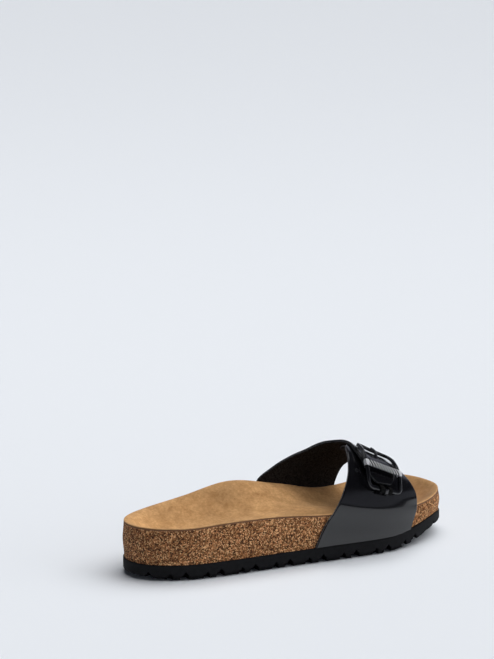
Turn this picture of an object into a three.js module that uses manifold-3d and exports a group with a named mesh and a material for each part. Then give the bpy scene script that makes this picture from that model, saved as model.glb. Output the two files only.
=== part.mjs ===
// A right-foot slide sandal: moulded cork footbed with a suede lining, notched rubber
// outsole, and a two-piece patent strap that closes with a buckle over the instep.
// Millimetres. While it is modelled, X runs from the heel's back (0) to the toe, +Y is
// the inner (big toe) side and Z is up from the underside of the sole's edge, which the
// tread layer keeps off the floor.

import * as THREE from "three";
import { mergeVertices } from "three/addons/utils/BufferGeometryUtils.js";
import Module from "manifold-3d";

const wasm = await Module();
wasm.setup();

// Driving dimensions of the last and the sole
const LENGTH = 256;
const HEEL_WIDTH = 70;
const WAIST_WIDTH = 77;
const BALL_WIDTH = 93;
const HEEL_RIM = 34.5;
const TOE_RIM = 27.5;
const ARCH_RISE = 9;
const HEEL_SEAT = 22;
const BALL_SEAT = 18.5;
const INSTEP_HEIGHT = 73.5;
const VAMP_HEIGHT = 46.5;
const SOLE = 8;
const TOE_SPRING = 6.5;
const SPRING_START = 0.72;
const SPRING_END = 0.95;
const TOE_THIN = 3;
const THIN_START = 0.92;
const HEEL_ROUND = 46;
const TOE_ROUND_OUTER = 80;
const TOE_ROUND_INNER = 28;
const TOE_TIP_Y = 3;
const HEEL_POWER = 2.2;
const TOE_POWER = 2.1;
const TOE_RIDGE = 2.2;
const TOE_RIDGE_AT = 0.8;
const TOE_RIDGE_SWEEP = 0.045;
const TOE_RIDGE_HALF = 8;
const PAD_RISE = 1.8;
const PAD_AT = 0.6;
const PAD_HALF = 17;
const PAD_SPREAD = 0.42;

// Thicknesses, steps and clearances
const GAP = 0.3;
const SOLE_LEDGE = 0.8;
const END_TUCK = 1.6;
const LINING = 1.6;
const RIM_INSET = 1.6;
const WALL_BULGE = 0.9;
const STRAP = 2.2;
const STRAP_RECESS = 1;
const RECESS_RAMP = 26;
const RECESS_FRONT = 1.2;

// Tread: a layer set in from the sole's edge, notched through at its rim
const TREAD_STEP = 3;
const TREAD_INSET = 2.2;
const HEEL_ROLL = 28;
const TOE_ROLL = 60;
const ROLL_SHARE = 0.3;
const NOTCH_PITCH = 13.2;
const NOTCH_SHIFT = 0.2;
const NOTCH_START = 1.48;
const NOTCH_REACH = 9;
const NOTCH_DEPTH = 3.2;
const NOTCH_HALF = 3;
const NOTCH_SMALL = 0.72;
const TREAD_PITCH = 11;
const TREAD_DEPTH = 1.6;
const TREAD_HALF = 1.5;
const TREAD_SWEEP = 5;
const TREAD_MARGIN = 14;
const CUT_PAST = 1;

// Buckle
const BUCKLE_WIDTH = 32;
const BUCKLE_HEIGHT = 43.5;
const BUCKLE_TOP_AROUND = -0.12;
const BUCKLE_CORNER = 5;
const FRAME_WIDTH = 2.8;
const FRAME_THICK = 2.4;
const KEEPER_WIDTH = 4.6;
const KEEPER_THICK = 2;
const KEEPER_SINK = 0.9;
const KEEPER_PLACE = 0.365;
const PRONG_WIDTH = 2.6;
const PRONG_THICK = 1.6;
const PRONG_SLOT = 0.4;
const TAB_WIDTH = 11;
const TAB_THICK = 1.2;
const TAB_ROOT = 2;

// Last and footbed, a row per section. at: share of LENGTH from the heel. outer and inner:
// half widths as shares of width. rim: edge height as a share of rimOf. arch: share of
// ARCH_RISE added on the inner edge. bed: middle of the footbed as a share of bedOf.
// cupOuter and cupInner: how late the bed turns up towards each edge. tuck: how far the
// foot of the side steps in, as a share of END_TUCK.
const SECTIONS = [
  { at: 0.00, width: HEEL_WIDTH, outer: 0.455, inner: 0.430, rimOf: HEEL_RIM, rim: 1.00,
    arch: 0.00, bedOf: HEEL_SEAT, bed: 1.05, cupOuter: 2.4, cupInner: 2.4, tuck: 1.0 },
  { at: 0.12, width: HEEL_WIDTH, outer: 0.508, inner: 0.490, rimOf: HEEL_RIM, rim: 0.99,
    arch: 0.00, bedOf: HEEL_SEAT, bed: 1.00, cupOuter: 2.5, cupInner: 2.4, tuck: 0.7 },
  { at: 0.25, width: WAIST_WIDTH, outer: 0.503, inner: 0.492, rimOf: HEEL_RIM, rim: 1.02,
    arch: 0.20, bedOf: HEEL_SEAT, bed: 1.06, cupOuter: 2.8, cupInner: 2.1, tuck: 0.2 },
  { at: 0.40, width: WAIST_WIDTH, outer: 0.530, inner: 0.478, rimOf: HEEL_RIM, rim: 0.99,
    arch: 1.00, bedOf: HEEL_SEAT, bed: 1.17, cupOuter: 3.2, cupInner: 1.9, tuck: 0.0 },
  { at: 0.55, width: BALL_WIDTH, outer: 0.477, inner: 0.398, rimOf: HEEL_RIM, rim: 0.885,
    arch: 0.62, bedOf: HEEL_SEAT, bed: 1.10, cupOuter: 3.6, cupInner: 2.3, tuck: 0.0 },
  { at: 0.70, width: BALL_WIDTH, outer: 0.505, inner: 0.458, rimOf: TOE_RIM, rim: 1.02,
    arch: -0.20, bedOf: BALL_SEAT, bed: 1.00, cupOuter: 4.5, cupInner: 3.8, tuck: 0.0 },
  { at: 0.85, width: BALL_WIDTH, outer: 0.492, inner: 0.505, rimOf: TOE_RIM, rim: 0.95,
    arch: 0.00, bedOf: BALL_SEAT, bed: 1.07, cupOuter: 6.5, cupInner: 6.5, tuck: 0.4 },
  { at: 1.00, width: BALL_WIDTH, outer: 0.450, inner: 0.510, rimOf: TOE_RIM, rim: 1.04,
    arch: 0.00, bedOf: BALL_SEAT, bed: 1.22, cupOuter: 8.0, cupInner: 8.0, tuck: 1.0 },
];

// Foot form above the rim, a row per section. crown: height of its top as a share of
// INSTEP_HEIGHT and VAMP_HEIGHT (of), ridge: its sideways place as a share of BALL_WIDTH,
// square: how full the shoulders are (2 is an ellipse).
const INSTEP = [
  { at: 0.45, of: INSTEP_HEIGHT, crown: 1.185, ridge: 0.02, square: 2.0 },
  { at: 0.64, of: INSTEP_HEIGHT, crown: 1.000, ridge: 0.04, square: 2.0 },
  { at: 0.75, of: VAMP_HEIGHT, crown: 1.240, ridge: 0.05, square: 2.3 },
  { at: 0.84, of: VAMP_HEIGHT, crown: 0.975, ridge: 0.05, square: 2.7 },
];

// Strap edges. around: place across the foot, -1 at the outer sole edge, 0 on the crown
// and 1 at the inner sole edge. rear and front: shares of LENGTH.
const OUTER_STRAP = [
  { at: -1.00, rear: 0.498, front: 0.806 },
  { at: -0.86, rear: 0.522, front: 0.824 },
  { at: -0.73, rear: 0.554, front: 0.835 },
  { at: -0.58, rear: 0.593, front: 0.838 },
  { at: -0.46, rear: 0.619, front: 0.834 },
  { at: -0.32, rear: 0.642, front: 0.830 },
  { at: -0.16, rear: 0.668, front: 0.831 },
  { at: 0.00, rear: 0.710, front: 0.830 },
  { at: 0.20, rear: 0.730, front: 0.824 },
];
const INNER_STRAP = [
  { at: -0.51, rear: 0.679, front: 0.750 },
  { at: -0.45, rear: 0.677, front: 0.755 },
  { at: -0.38, rear: 0.670, front: 0.771 },
  { at: -0.22, rear: 0.676, front: 0.800 },
  { at: -0.10, rear: 0.692, front: 0.816 },
  { at: 0.02, rear: 0.706, front: 0.825 },
  { at: 0.22, rear: 0.704, front: 0.820 },
  { at: 0.37, rear: 0.659, front: 0.808 },
  { at: 0.50, rear: 0.597, front: 0.788 },
  { at: 0.62, rear: 0.539, front: 0.775 },
  { at: 0.73, rear: 0.494, front: 0.764 },
  { at: 1.00, rear: 0.466, front: 0.748 },
];
const TONGUE_ROUND = 0.1;
const TONGUE_TIP = 0.45;

// Where the inner strap starts to climb over the outer one and over the prong, as places
// around the foot, and over how much of it
const LAP_AT = 0.44;
const PRONG_AT = -0.18;
const CLIMB = 0.18;

// Buckle frame over the strap. at: share of BUCKLE_HEIGHT from its lower bar. middle: place
// of its centre line as a share of LENGTH. slope: run along X of a width of one. tilt: how
// much further round the toe end lies. raise: the layers of strap and prong under it.
const BUCKLE = [
  { at: 0, middle: 0.713, slope: 0.84, tilt: 0.035, raise: STRAP + PRONG_THICK + 2 * GAP },
  { at: KEEPER_PLACE, middle: 0.719, slope: 0.85, tilt: 0.045,
    raise: 2 * STRAP + PRONG_THICK + 4 * GAP },
  { at: 1, middle: 0.750, slope: 0.92, tilt: -0.03, raise: 2 * STRAP + 2 * GAP },
];

// How finely the bodies are divided
const STATIONS = 46;
const RINGS = 6;
const WALL_ROWS = 3;
const STRAP_ROWS = 30;
const STRAP_COLUMNS = 7;

// Share of the way from crown to sole edge that lies on the footbed's side
const SIDE_SHARE = 0.27;

const mix = (a, b, share) => a + (b - a) * share;
const clamp = (value) => Math.min(1, Math.max(0, value));
const ease = (value) => clamp(value) ** 2 * (3 - 2 * clamp(value));

// A table's column as a smooth curve through its rows
function smooth(rows, at, value) {
  let i = 1;
  while (i < rows.length - 1 && rows[i].at < at) {
    i += 1;
  }
  const slope = (k) => {
    const before = rows[Math.max(0, k - 1)];
    const after = rows[Math.min(rows.length - 1, k + 1)];
    return (value(after) - value(before)) / (after.at - before.at);
  };
  const span = rows[i].at - rows[i - 1].at;
  const t = clamp((at - rows[i - 1].at) / span);
  const rise = value(rows[i]) - value(rows[i - 1]);
  const start = span * slope(i - 1);
  const end = span * slope(i);
  const bend = start + end - 2 * rise;
  return value(rows[i - 1]) + t * (start + t * (3 * rise - 2 * start - end + t * bend));
}

// Heights along the sole
function floorHeight(x) {
  return TOE_SPRING * ease((x / LENGTH - SPRING_START) / (SPRING_END - SPRING_START));
}

// Thickness of the sole's edge, thinner towards the toe's tip
function soleTop(x) {
  return SOLE - TOE_THIN * ease((x / LENGTH - THIN_START) / (1 - THIN_START));
}

function rimHeight(x, side) {
  const at = x / LENGTH;
  const edge = smooth(SECTIONS, at, (row) => row.rim * row.rimOf);
  const arch = smooth(SECTIONS, at, (row) => row.arch * ARCH_RISE);
  return edge + (side > 0 ? arch : 0);
}

function bedHeight(x) {
  return smooth(SECTIONS, x / LENGTH, (row) => row.bed * row.bedOf);
}

// Plan outline of the footbed: half widths from the table, closed by rounded ends
const roundEnd = (share, power) => (1 - (1 - clamp(share)) ** power) ** (1 / power);

function edgeY(x, side) {
  const half = side < 0
    ? -smooth(SECTIONS, x / LENGTH, (row) => row.outer * row.width)
    : smooth(SECTIONS, x / LENGTH, (row) => row.inner * row.width);
  if (x < LENGTH / 2) {
    return half * roundEnd(x / HEEL_ROUND, HEEL_POWER);
  }
  const round = side < 0 ? TOE_ROUND_OUTER : TOE_ROUND_INNER;
  return mix(TOE_TIP_Y, half, roundEnd((LENGTH - x) / round, TOE_POWER));
}

// A point of the outline at a turn from 0 (heel) to pi (toe), moved outwards by reach
function outline(turn, side, reach) {
  const x = (LENGTH * (1 - Math.cos(turn))) / 2;
  if (turn < 1e-6) {
    return new THREE.Vector2(-reach, 0);
  }
  if (turn > Math.PI - 1e-6) {
    return new THREE.Vector2(LENGTH + reach, TOE_TIP_Y);
  }
  const step = 1e-3;
  const before = (LENGTH * (1 - Math.cos(Math.max(0, turn - step)))) / 2;
  const after = (LENGTH * (1 - Math.cos(Math.min(Math.PI, turn + step)))) / 2;
  const run = after - before;
  const rise = edgeY(after, side) - edgeY(before, side);
  const scale = (side * reach) / Math.hypot(run, rise);
  return new THREE.Vector2(x - rise * scale, edgeY(x, side) + run * scale);
}

const tuck = (x) => END_TUCK * smooth(SECTIONS, x / LENGTH, (row) => row.tuck);

// The outsole's edge stands out by a ledge
const soleEdge = (turn, side, reach) => {
  const x = (LENGTH * (1 - Math.cos(turn))) / 2;
  return outline(turn, side, SOLE_LEDGE - tuck(x) + reach);
};

// How deep the footbed's side steps in under the strap at x
function recess(x, side) {
  const rows = side < 0 ? OUTER_STRAP : INNER_STRAP;
  const base = rows[side < 0 ? 0 : rows.length - 1];
  const rear = ease((x - base.rear * LENGTH) / RECESS_RAMP + 0.5);
  const front = ease((base.front * LENGTH - x) / RECESS_RAMP + RECESS_FRONT);
  return STRAP_RECESS * rear * front;
}

// A point of the footbed's side, share 0 at the outsole to 1 at the rim, moved by reach
function sidePoint(turn, side, share, reach) {
  const x = (LENGTH * (1 - Math.cos(turn))) / 2;
  const under = recess(x, side) / STRAP_RECESS;
  const bulge = WALL_BULGE * Math.sin(Math.PI * share) ** 2 * (1 - under);
  const inset = mix(tuck(x), RIM_INSET, ease(share)) + recess(x, side);
  const place = outline(turn, side, bulge - inset + reach);
  const base = soleTop(place.x) + floorHeight(place.x) + GAP;
  const height = mix(base, rimHeight(x, side), share);
  return new THREE.Vector3(place.x, place.y, height);
}

// The ridge under the toes and the pad behind the ball, on the footbed's top
function bedRelief(x, side, ring) {
  const ridgeX = LENGTH * (TOE_RIDGE_AT + TOE_RIDGE_SWEEP * side * ring);
  const ridge = TOE_RIDGE * Math.exp(-(((x - ridgeX) / TOE_RIDGE_HALF) ** 2)) * (1 - ring ** 3);
  const away = ((x - PAD_AT * LENGTH) / PAD_HALF) ** 2 + (ring / PAD_SPREAD) ** 2;
  return ridge + PAD_RISE * Math.exp(-away);
}

// A point of the footbed's top, ring 0 on the middle line to 1 on the rim
function bedPoint(turn, side, ring) {
  const rim = sidePoint(turn, side, 1, 0);
  const share = (1 - Math.cos(turn)) / 2;
  const middleX = mix(HEEL_WIDTH / 2, LENGTH - BALL_WIDTH / 2, share);
  const middleY = (edgeY(middleX, 1) + edgeY(middleX, -1)) / 2;
  const x = mix(middleX, rim.x, ring);
  const cup = smooth(SECTIONS, share, (row) => (side < 0 ? row.cupOuter : row.cupInner));
  const rise = Math.sin((Math.PI / 2) * ring ** cup);
  const bed = bedHeight(x) + bedRelief(x, side, ring);
  return new THREE.Vector3(x, mix(middleY, rim.y, ring), mix(bed, rim.z, rise));
}

// The foot's surface under the straps, at x along the last and a place around it
function footPoint(x, around) {
  const side = around < 0 ? -1 : 1;
  const turn = Math.acos(1 - (2 * x) / LENGTH);
  const up = (1 - Math.abs(around)) / SIDE_SHARE;
  if (up < 1) {
    return sidePoint(turn, side, up, GAP);
  }
  const rim = sidePoint(turn, side, 1, GAP);
  const at = x / LENGTH;
  const crown = smooth(INSTEP, at, (row) => row.crown * row.of);
  const ridge = smooth(INSTEP, at, (row) => row.ridge * BALL_WIDTH);
  const square = smooth(INSTEP, at, (row) => row.square);
  const angle = (Math.PI / 2) * (1 - Math.abs(around) / (1 - SIDE_SHARE));
  const run = Math.cos(angle);
  const rise = Math.sin(angle);
  const reach = 1 / (run ** square + rise ** square) ** (1 / square);
  return new THREE.Vector3(
    x + (rim.x - x) * run,
    ridge + (rim.y - ridge) * run * reach,
    rim.z + (crown - rim.z) * rise * reach,
  );
}

// The same surface raised by a height along its outward normal
function raised(x, around, height) {
  const step = 0.004;
  const place = footPoint(x, around);
  const along = footPoint(x + step * LENGTH, around).sub(footPoint(x - step * LENGTH, around));
  const low = Math.max(-1, around - step);
  const high = Math.min(1, around + step);
  const across = footPoint(x, high).sub(footPoint(x, low));
  return place.addScaledVector(along.cross(across).normalize(), height);
}

// Patches of points become one closed body
function addTriangle(list, a, b, c) {
  const flat = 1e-8;
  if (a.distanceToSquared(b) > flat && b.distanceToSquared(c) > flat
    && c.distanceToSquared(a) > flat) {
    list.push(a.x, a.y, a.z, b.x, b.y, b.z, c.x, c.y, c.z);
  }
}

function addPatch(list, grid, flip) {
  for (let i = 0; i < grid.length - 1; i += 1) {
    for (let j = 0; j < grid[i].length - 1; j += 1) {
      const [a, b, c, d] = [grid[i][j], grid[i + 1][j], grid[i + 1][j + 1], grid[i][j + 1]];
      addTriangle(list, a, flip ? c : b, flip ? b : c);
      addTriangle(list, a, flip ? d : c, flip ? c : d);
    }
  }
}

function body(list) {
  const geometry = new THREE.BufferGeometry();
  geometry.setAttribute("position", new THREE.Float32BufferAttribute(list, 3));
  let volume = 0;
  for (let k = 0; k < list.length; k += 9) {
    const [a, b, c] = [0, 3, 6].map((step) => new THREE.Vector3().fromArray(list, k + step));
    volume += a.dot(b.cross(c));
  }
  const joined = mergeVertices(geometry, 1e-4);
  if (volume < 0) {
    joined.index.array.reverse();
  }
  return joined;
}

function makeGrid(rows, columns, point) {
  return Array.from({ length: rows + 1 }, (_, i) =>
    Array.from({ length: columns + 1 }, (__, j) => point(i / rows, j / columns)));
}

const column = (grid, j) => grid.map((row) => row.at(j));

// A sheet between an outer and an inner grid, with walls on the sides asked for
function sheet(outer, inner, ends) {
  const list = [];
  addPatch(list, outer, false);
  addPatch(list, inner, true);
  addPatch(list, [column(outer, 0), column(inner, 0)], false);
  addPatch(list, [column(outer, -1), column(inner, -1)], true);
  if (ends) {
    addPatch(list, [outer[0], inner[0]], true);
    addPatch(list, [outer.at(-1), inner.at(-1)], false);
  }
  return body(list);
}

// Rings of points joined into a closed ring or a rod with flat ends
function rod(rings, closed) {
  const list = [];
  const wrapped = rings.map((ring) => [...ring, ring[0]]);
  addPatch(list, closed ? [...wrapped, wrapped[0]] : wrapped, false);
  if (!closed) {
    const middle = (ring) => {
      const sum = ring.reduce((total, point) => total.add(point), new THREE.Vector3());
      return sum.divideScalar(ring.length);
    };
    addPatch(list, [wrapped[0].map(() => middle(rings[0])), wrapped[0]], false);
    addPatch(list, [wrapped.at(-1), wrapped[0].map(() => middle(rings.at(-1)))], false);
  }
  return body(list);
}

// Joins and cuts
function toSolid(geometry) {
  const plain = geometry.index ? geometry : mergeVertices(geometry);
  return new wasm.Manifold(new wasm.Mesh({
    numProp: 3,
    vertProperties: new Float32Array(plain.attributes.position.array),
    triVerts: new Uint32Array(plain.index.array),
  }));
}

function fromSolid(solid) {
  const mesh = solid.getMesh();
  const geometry = new THREE.BufferGeometry();
  geometry.setAttribute("position", new THREE.BufferAttribute(mesh.vertProperties, 3));
  geometry.setIndex(new THREE.BufferAttribute(mesh.triVerts, 1));
  return geometry;
}

const cut = (geometry, tools) =>
  fromSolid(tools.reduce((solid, tool) => solid.subtract(toSolid(tool)), toSolid(geometry)));

// Stations along the sole, with the two ends shared by both sides
const turnAt = (share) => Math.PI * share;
const sideAt = (turn, side) => (turn === 0 || turn === Math.PI ? -1 : side);

// Across the bed: -1 at the outer rim, 0 on the middle line, 1 at the inner rim
function bedGrid(drop) {
  return makeGrid(STATIONS, 2 * RINGS, (share, across) => {
    const place = 2 * across - 1;
    const turn = turnAt(share);
    const ring = 1 - (1 - Math.abs(place)) ** 1.3;
    const point = bedPoint(turn, sideAt(turn, place < 0 ? -1 : 1), ring);
    point.z -= drop;
    return point;
  });
}

function makeLining() {
  return sheet(bedGrid(0), bedGrid(LINING), false);
}

// The footbed's side runs up to just under the lining
function makeFootbed() {
  const drop = LINING + GAP;
  const top = bedGrid(drop);
  const list = [];
  addPatch(list, top, false);
  for (const side of [-1, 1]) {
    const wall = makeGrid(STATIONS, WALL_ROWS, (share, up) => {
      const turn = turnAt(share);
      const own = sideAt(turn, side);
      const rim = sidePoint(turn, own, 1, 0).z;
      const base = sidePoint(turn, own, 0, 0).z;
      const full = (rim - drop - base) / (rim - base);
      const point = sidePoint(turn, own, up === 1 ? 1 : up * full, 0);
      if (up === 1) {
        point.z -= drop;
      }
      return point;
    });
    addPatch(list, wall, side > 0);
  }
  const bottom = makeGrid(STATIONS, 1, (share, across) => {
    const turn = turnAt(share);
    return sidePoint(turn, sideAt(turn, across < 0.5 ? -1 : 1), 0, 0);
  });
  addPatch(list, bottom, true);
  return body(list);
}

// A V groove between two points of the plan, its mouth at a depth under the sole's edge and
// open straight down from there
function groove(start, end, half, depth, mouth) {
  const across = end.clone().sub(start).normalize();
  const side = new THREE.Vector2(-across.y, across.x);
  const section = (place) => {
    const top = floorHeight(place.x) - mouth;
    const low = floorHeight(place.x) - TREAD_STEP - CUT_PAST;
    const left = place.clone().addScaledVector(side, -half);
    const right = place.clone().addScaledVector(side, half);
    return [
      new THREE.Vector3(left.x, left.y, low),
      new THREE.Vector3(right.x, right.y, low),
      new THREE.Vector3(right.x, right.y, top),
      new THREE.Vector3(place.x, place.y, top + depth),
      new THREE.Vector3(left.x, left.y, top),
    ];
  };
  return rod([section(start), section(end)], false);
}

// Notches round the edge of the outsole, large and small by turns, a longer step after
// each large one
function edgeNotches() {
  const steps = 400;
  const walk = [];
  for (let k = 0; k < 2 * steps; k += 1) {
    const side = k < steps ? -1 : 1;
    const turn = Math.PI * (k < steps ? k / steps : 2 - k / steps);
    walk.push({ turn, side, place: soleEdge(turn, side, 0) });
  }
  const tools = [];
  let left = NOTCH_PITCH * NOTCH_START;
  for (let k = 1; k < walk.length; k += 1) {
    left -= walk[k].place.distanceTo(walk[k - 1].place);
    if (left <= 0) {
      const large = tools.length % 2 === 0;
      left += NOTCH_PITCH * (large ? 1 + NOTCH_SHIFT : 1 - NOTCH_SHIFT);
      const size = large ? 1 : NOTCH_SMALL;
      const { turn, side } = walk[k];
      const out = soleEdge(turn, side, CUT_PAST);
      const into = soleEdge(turn, side, -NOTCH_REACH * size);
      tools.push(groove(out, into, NOTCH_HALF * size, NOTCH_DEPTH * size, 0));
    }
  }
  return tools;
}

// Swept grooves across the tread, as shallow chevrons between the two rows of notches
function treadGrooves() {
  const tools = [];
  for (let x = 2 * TREAD_PITCH; x < LENGTH - TREAD_PITCH; x += TREAD_PITCH) {
    const middle = (edgeY(x, -1) + edgeY(x, 1)) / 2;
    const tip = new THREE.Vector2(x + TREAD_SWEEP, middle);
    for (const side of [-1, 1]) {
      const end = new THREE.Vector2(x, edgeY(x, side) - side * TREAD_MARGIN);
      if (side * (end.y - middle) > TREAD_MARGIN / 2) {
        const past = tip.clone().addScaledVector(tip.clone().sub(end).normalize(), 0.4);
        tools.push(groove(past, end, TREAD_HALF, TREAD_DEPTH, TREAD_STEP));
      }
    }
  }
  return tools;
}

// A slab of the sole's outline moved in by an inset, between two heights that may change
// along the sole
function slab(inset, low, high) {
  const list = [];
  const point = (turn, side, up) => {
    const place = soleEdge(turn, side, -inset);
    const height = mix(low(place.x), high(place.x), up);
    return new THREE.Vector3(place.x, place.y, floorHeight(place.x) + height);
  };
  for (const up of [0, 1]) {
    const face = makeGrid(STATIONS, 1, (share, across) => {
      const turn = turnAt(share);
      return point(turn, sideAt(turn, across < 0.5 ? -1 : 1), up);
    });
    addPatch(list, face, up === 0);
  }
  for (const side of [-1, 1]) {
    const wall = makeGrid(STATIONS, 1, (share, up) => {
      const turn = turnAt(share);
      return point(turn, sideAt(turn, side), up);
    });
    addPatch(list, wall, side > 0);
  }
  return toSolid(body(list));
}

// The tread layer thins out towards the back of the heel and the toe's tip
function treadLow(x) {
  const full = ease(x / HEEL_ROLL) * ease((LENGTH - x) / TOE_ROLL);
  return -TREAD_STEP * mix(ROLL_SHARE, 1, full);
}

function makeOutsole() {
  const plain = slab(0, () => 0, soleTop).add(slab(TREAD_INSET, treadLow, () => SOLE / 4));
  const tools = [...edgeNotches(), ...treadGrooves()].map(toSolid);
  const cuts = tools.reduce((all, tool) => all.add(tool));
  return fromSolid(plain.subtract(cuts));
}

// A strap half from its edge table, lifted over what lies under it
function makeStrap(rows, lift, narrow) {
  const first = rows[0].at;
  const last = rows.at(-1).at;
  const grid = (height) => makeGrid(STRAP_COLUMNS, STRAP_ROWS, (across, along) => {
    const around = mix(first, last, along);
    const rear = LENGTH * smooth(rows, around, (row) => row.rear);
    const front = LENGTH * smooth(rows, around, (row) => row.front);
    const half = ((front - rear) / 2) * narrow(around);
    const x = (front + rear) / 2 + half * (2 * across - 1);
    return raised(x, around, lift(around) + height);
  });
  return sheet(grid(STRAP), grid(0), true);
}

// The inner strap climbs over the outer one's end, and its tongue over the prong
function tongueLift(around) {
  const over = (STRAP + GAP) * ease((LAP_AT - around) / CLIMB);
  return over + (PRONG_THICK + GAP) * ease((PRONG_AT - around) / CLIMB);
}

function tongueWidth(around) {
  const end = INNER_STRAP[0].at;
  const share = clamp((around - end) / TONGUE_ROUND);
  return mix(TONGUE_TIP, 1, Math.sqrt(1 - (1 - share) ** 2));
}

// Distance along the foot's outer side per unit of around, at the buckle
function sideRun() {
  const x = BUCKLE[1].middle * LENGTH;
  const steps = 20;
  const low = -0.55;
  const high = -0.05;
  let length = 0;
  for (let k = 0; k < steps; k += 1) {
    const a = footPoint(x, mix(low, high, k / steps));
    length += a.distanceTo(footPoint(x, mix(low, high, (k + 1) / steps)));
  }
  return length / (high - low);
}
const SIDE_RUN = sideRun();

// The buckle's flat pattern laid over the foot: across its width and up from its lower
// bar, both in millimetres, at a height over the foot
function patternPoint(across, up, height) {
  const read = (key) => smooth(BUCKLE, up / BUCKLE_HEIGHT, (row) => row[key]);
  const x = read("middle") * LENGTH + across * read("slope");
  const fall = (BUCKLE_HEIGHT - up) / SIDE_RUN;
  const tilt = (across / BUCKLE_WIDTH) * read("tilt");
  return raised(x, BUCKLE_TOP_AROUND - fall - tilt, height);
}

const frameBase = (up) => smooth(BUCKLE, up / BUCKLE_HEIGHT, (row) => row.raise);

// A bar with rounded corners along a path of the buckle's pattern, lying flat over the
// frame's own height
function bar(path, width, thick, closed) {
  const corners = 8;
  const corner = 0.5 / Math.cos(Math.PI / corners);
  const rings = path.map((here, k) => {
    const before = path[closed ? (k + path.length - 1) % path.length : Math.max(0, k - 1)];
    const after = path[closed ? (k + 1) % path.length : Math.min(path.length - 1, k + 1)];
    const run = after.across - before.across;
    const rise = after.up - before.up;
    const length = Math.hypot(run, rise);
    return Array.from({ length: corners }, (_, c) => {
      const angle = (2 * Math.PI * (c + 0.5)) / corners;
      const out = width * (here.full ?? 1) * corner * Math.cos(angle);
      const up = here.up - (run / length) * out;
      const high = here.height + thick * corner * Math.sin(angle);
      return patternPoint(here.across + (rise / length) * out, up, frameBase(here.up) + high);
    });
  });
  return rod(rings, closed);
}

// A strip across the pattern that follows a path of places up and heights over the foot
function strip(path, low, high, thick, closed) {
  const rings = path.map((here, k) => {
    const before = path[closed ? (k + path.length - 1) % path.length : Math.max(0, k - 1)];
    const after = path[closed ? (k + 1) % path.length : Math.min(path.length - 1, k + 1)];
    const run = after.up - before.up;
    const rise = after.height - before.height;
    const half = thick / 2 / Math.hypot(run, rise);
    const point = (across, sign) =>
      patternPoint(across, here.up - sign * rise * half, here.height + sign * run * half);
    return [point(low, -1), point(high, -1), point(high, 1), point(low, 1)];
  });
  return rod(rings, closed);
}

// A loop round the frame's lower bar, from one angle to another, at a clearance from it
function loopPath(thick, from, to, steps) {
  const halfUp = FRAME_WIDTH / 2 + GAP + thick / 2;
  const halfHigh = FRAME_THICK / 2 + GAP + thick / 2;
  return Array.from({ length: steps }, (_, k) => {
    const angle = mix(from, to, k / steps);
    return {
      up: FRAME_WIDTH / 2 + halfUp * Math.cos(angle),
      height: frameBase(FRAME_WIDTH / 2) + FRAME_THICK / 2 + halfHigh * Math.sin(angle),
    };
  });
}

// The frame's centre line: corners as quarter arcs, with points along the sides
function framePath() {
  const halfWidth = (BUCKLE_WIDTH - FRAME_WIDTH) / 2;
  const halfHeight = (BUCKLE_HEIGHT - FRAME_WIDTH) / 2;
  const corner = BUCKLE_CORNER - FRAME_WIDTH / 2;
  const turns = 4;
  const sides = 6;
  const corners = [0, 1, 2, 3].map((quarter) => {
    const signX = quarter === 0 || quarter === 3 ? 1 : -1;
    const signY = quarter < 2 ? 1 : -1;
    return Array.from({ length: turns + 1 }, (_, k) => {
      const angle = (Math.PI / 2) * (quarter + k / turns);
      return {
        across: signX * (halfWidth - corner) + corner * Math.cos(angle),
        up: BUCKLE_HEIGHT / 2 + signY * (halfHeight - corner) + corner * Math.sin(angle),
        height: FRAME_THICK / 2,
      };
    });
  });
  return corners.flatMap((arc, quarter) => {
    const last = arc.at(-1);
    const next = corners[(quarter + 1) % 4][0];
    const between = Array.from({ length: sides - 1 }, (_, k) => ({
      across: mix(last.across, next.across, (k + 1) / sides),
      up: mix(last.up, next.up, (k + 1) / sides),
      height: FRAME_THICK / 2,
    }));
    return [...arc, ...between];
  });
}

// The bright keeper bar across the middle of the frame, grown by a clearance
function keeper(clearance) {
  const half = BUCKLE_WIDTH / 2;
  const steps = 8;
  const path = Array.from({ length: steps + 1 }, (_, k) => {
    const share = (2 * k) / steps - 1;
    return {
      across: share * (half + clearance),
      up: BUCKLE_HEIGHT * KEEPER_PLACE,
      height: FRAME_THICK - KEEPER_SINK + KEEPER_THICK / 2,
      full: Math.abs(share) === 1 ? 0.7 : 1,
    };
  });
  return bar(path, KEEPER_WIDTH + 2 * clearance, KEEPER_THICK + 2 * clearance, false);
}

const makeFrame = () => cut(bar(framePath(), FRAME_WIDTH, FRAME_THICK, true), [keeper(GAP)]);

// The prong hooks round the lower bar, lies under the tongue, comes up through its hole
// and rests on the top bar
function prong(clearance) {
  const under = STRAP + GAP + PRONG_THICK / 2;
  const top = frameBase(BUCKLE_HEIGHT - FRAME_WIDTH);
  const over = top + FRAME_THICK + GAP + PRONG_THICK / 2;
  const path = [
    ...loopPath(PRONG_THICK, Math.PI * 0.5, Math.PI * 1.6, 8),
    { up: BUCKLE_HEIGHT * 0.12, height: under },
    { up: BUCKLE_HEIGHT * 0.28, height: under },
    { up: BUCKLE_HEIGHT * 0.44, height: under },
    { up: BUCKLE_HEIGHT * 0.58, height: under },
    { up: BUCKLE_HEIGHT * 0.66, height: mix(under, over, 0.2) },
    { up: BUCKLE_HEIGHT * 0.76, height: mix(under, over, 0.8) },
    { up: BUCKLE_HEIGHT * 0.84, height: over },
    { up: BUCKLE_HEIGHT + 1, height: over },
  ];
  const half = PRONG_WIDTH / 2 + clearance;
  return strip(path, -half, half, PRONG_THICK + 2 * clearance, false);
}

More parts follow.
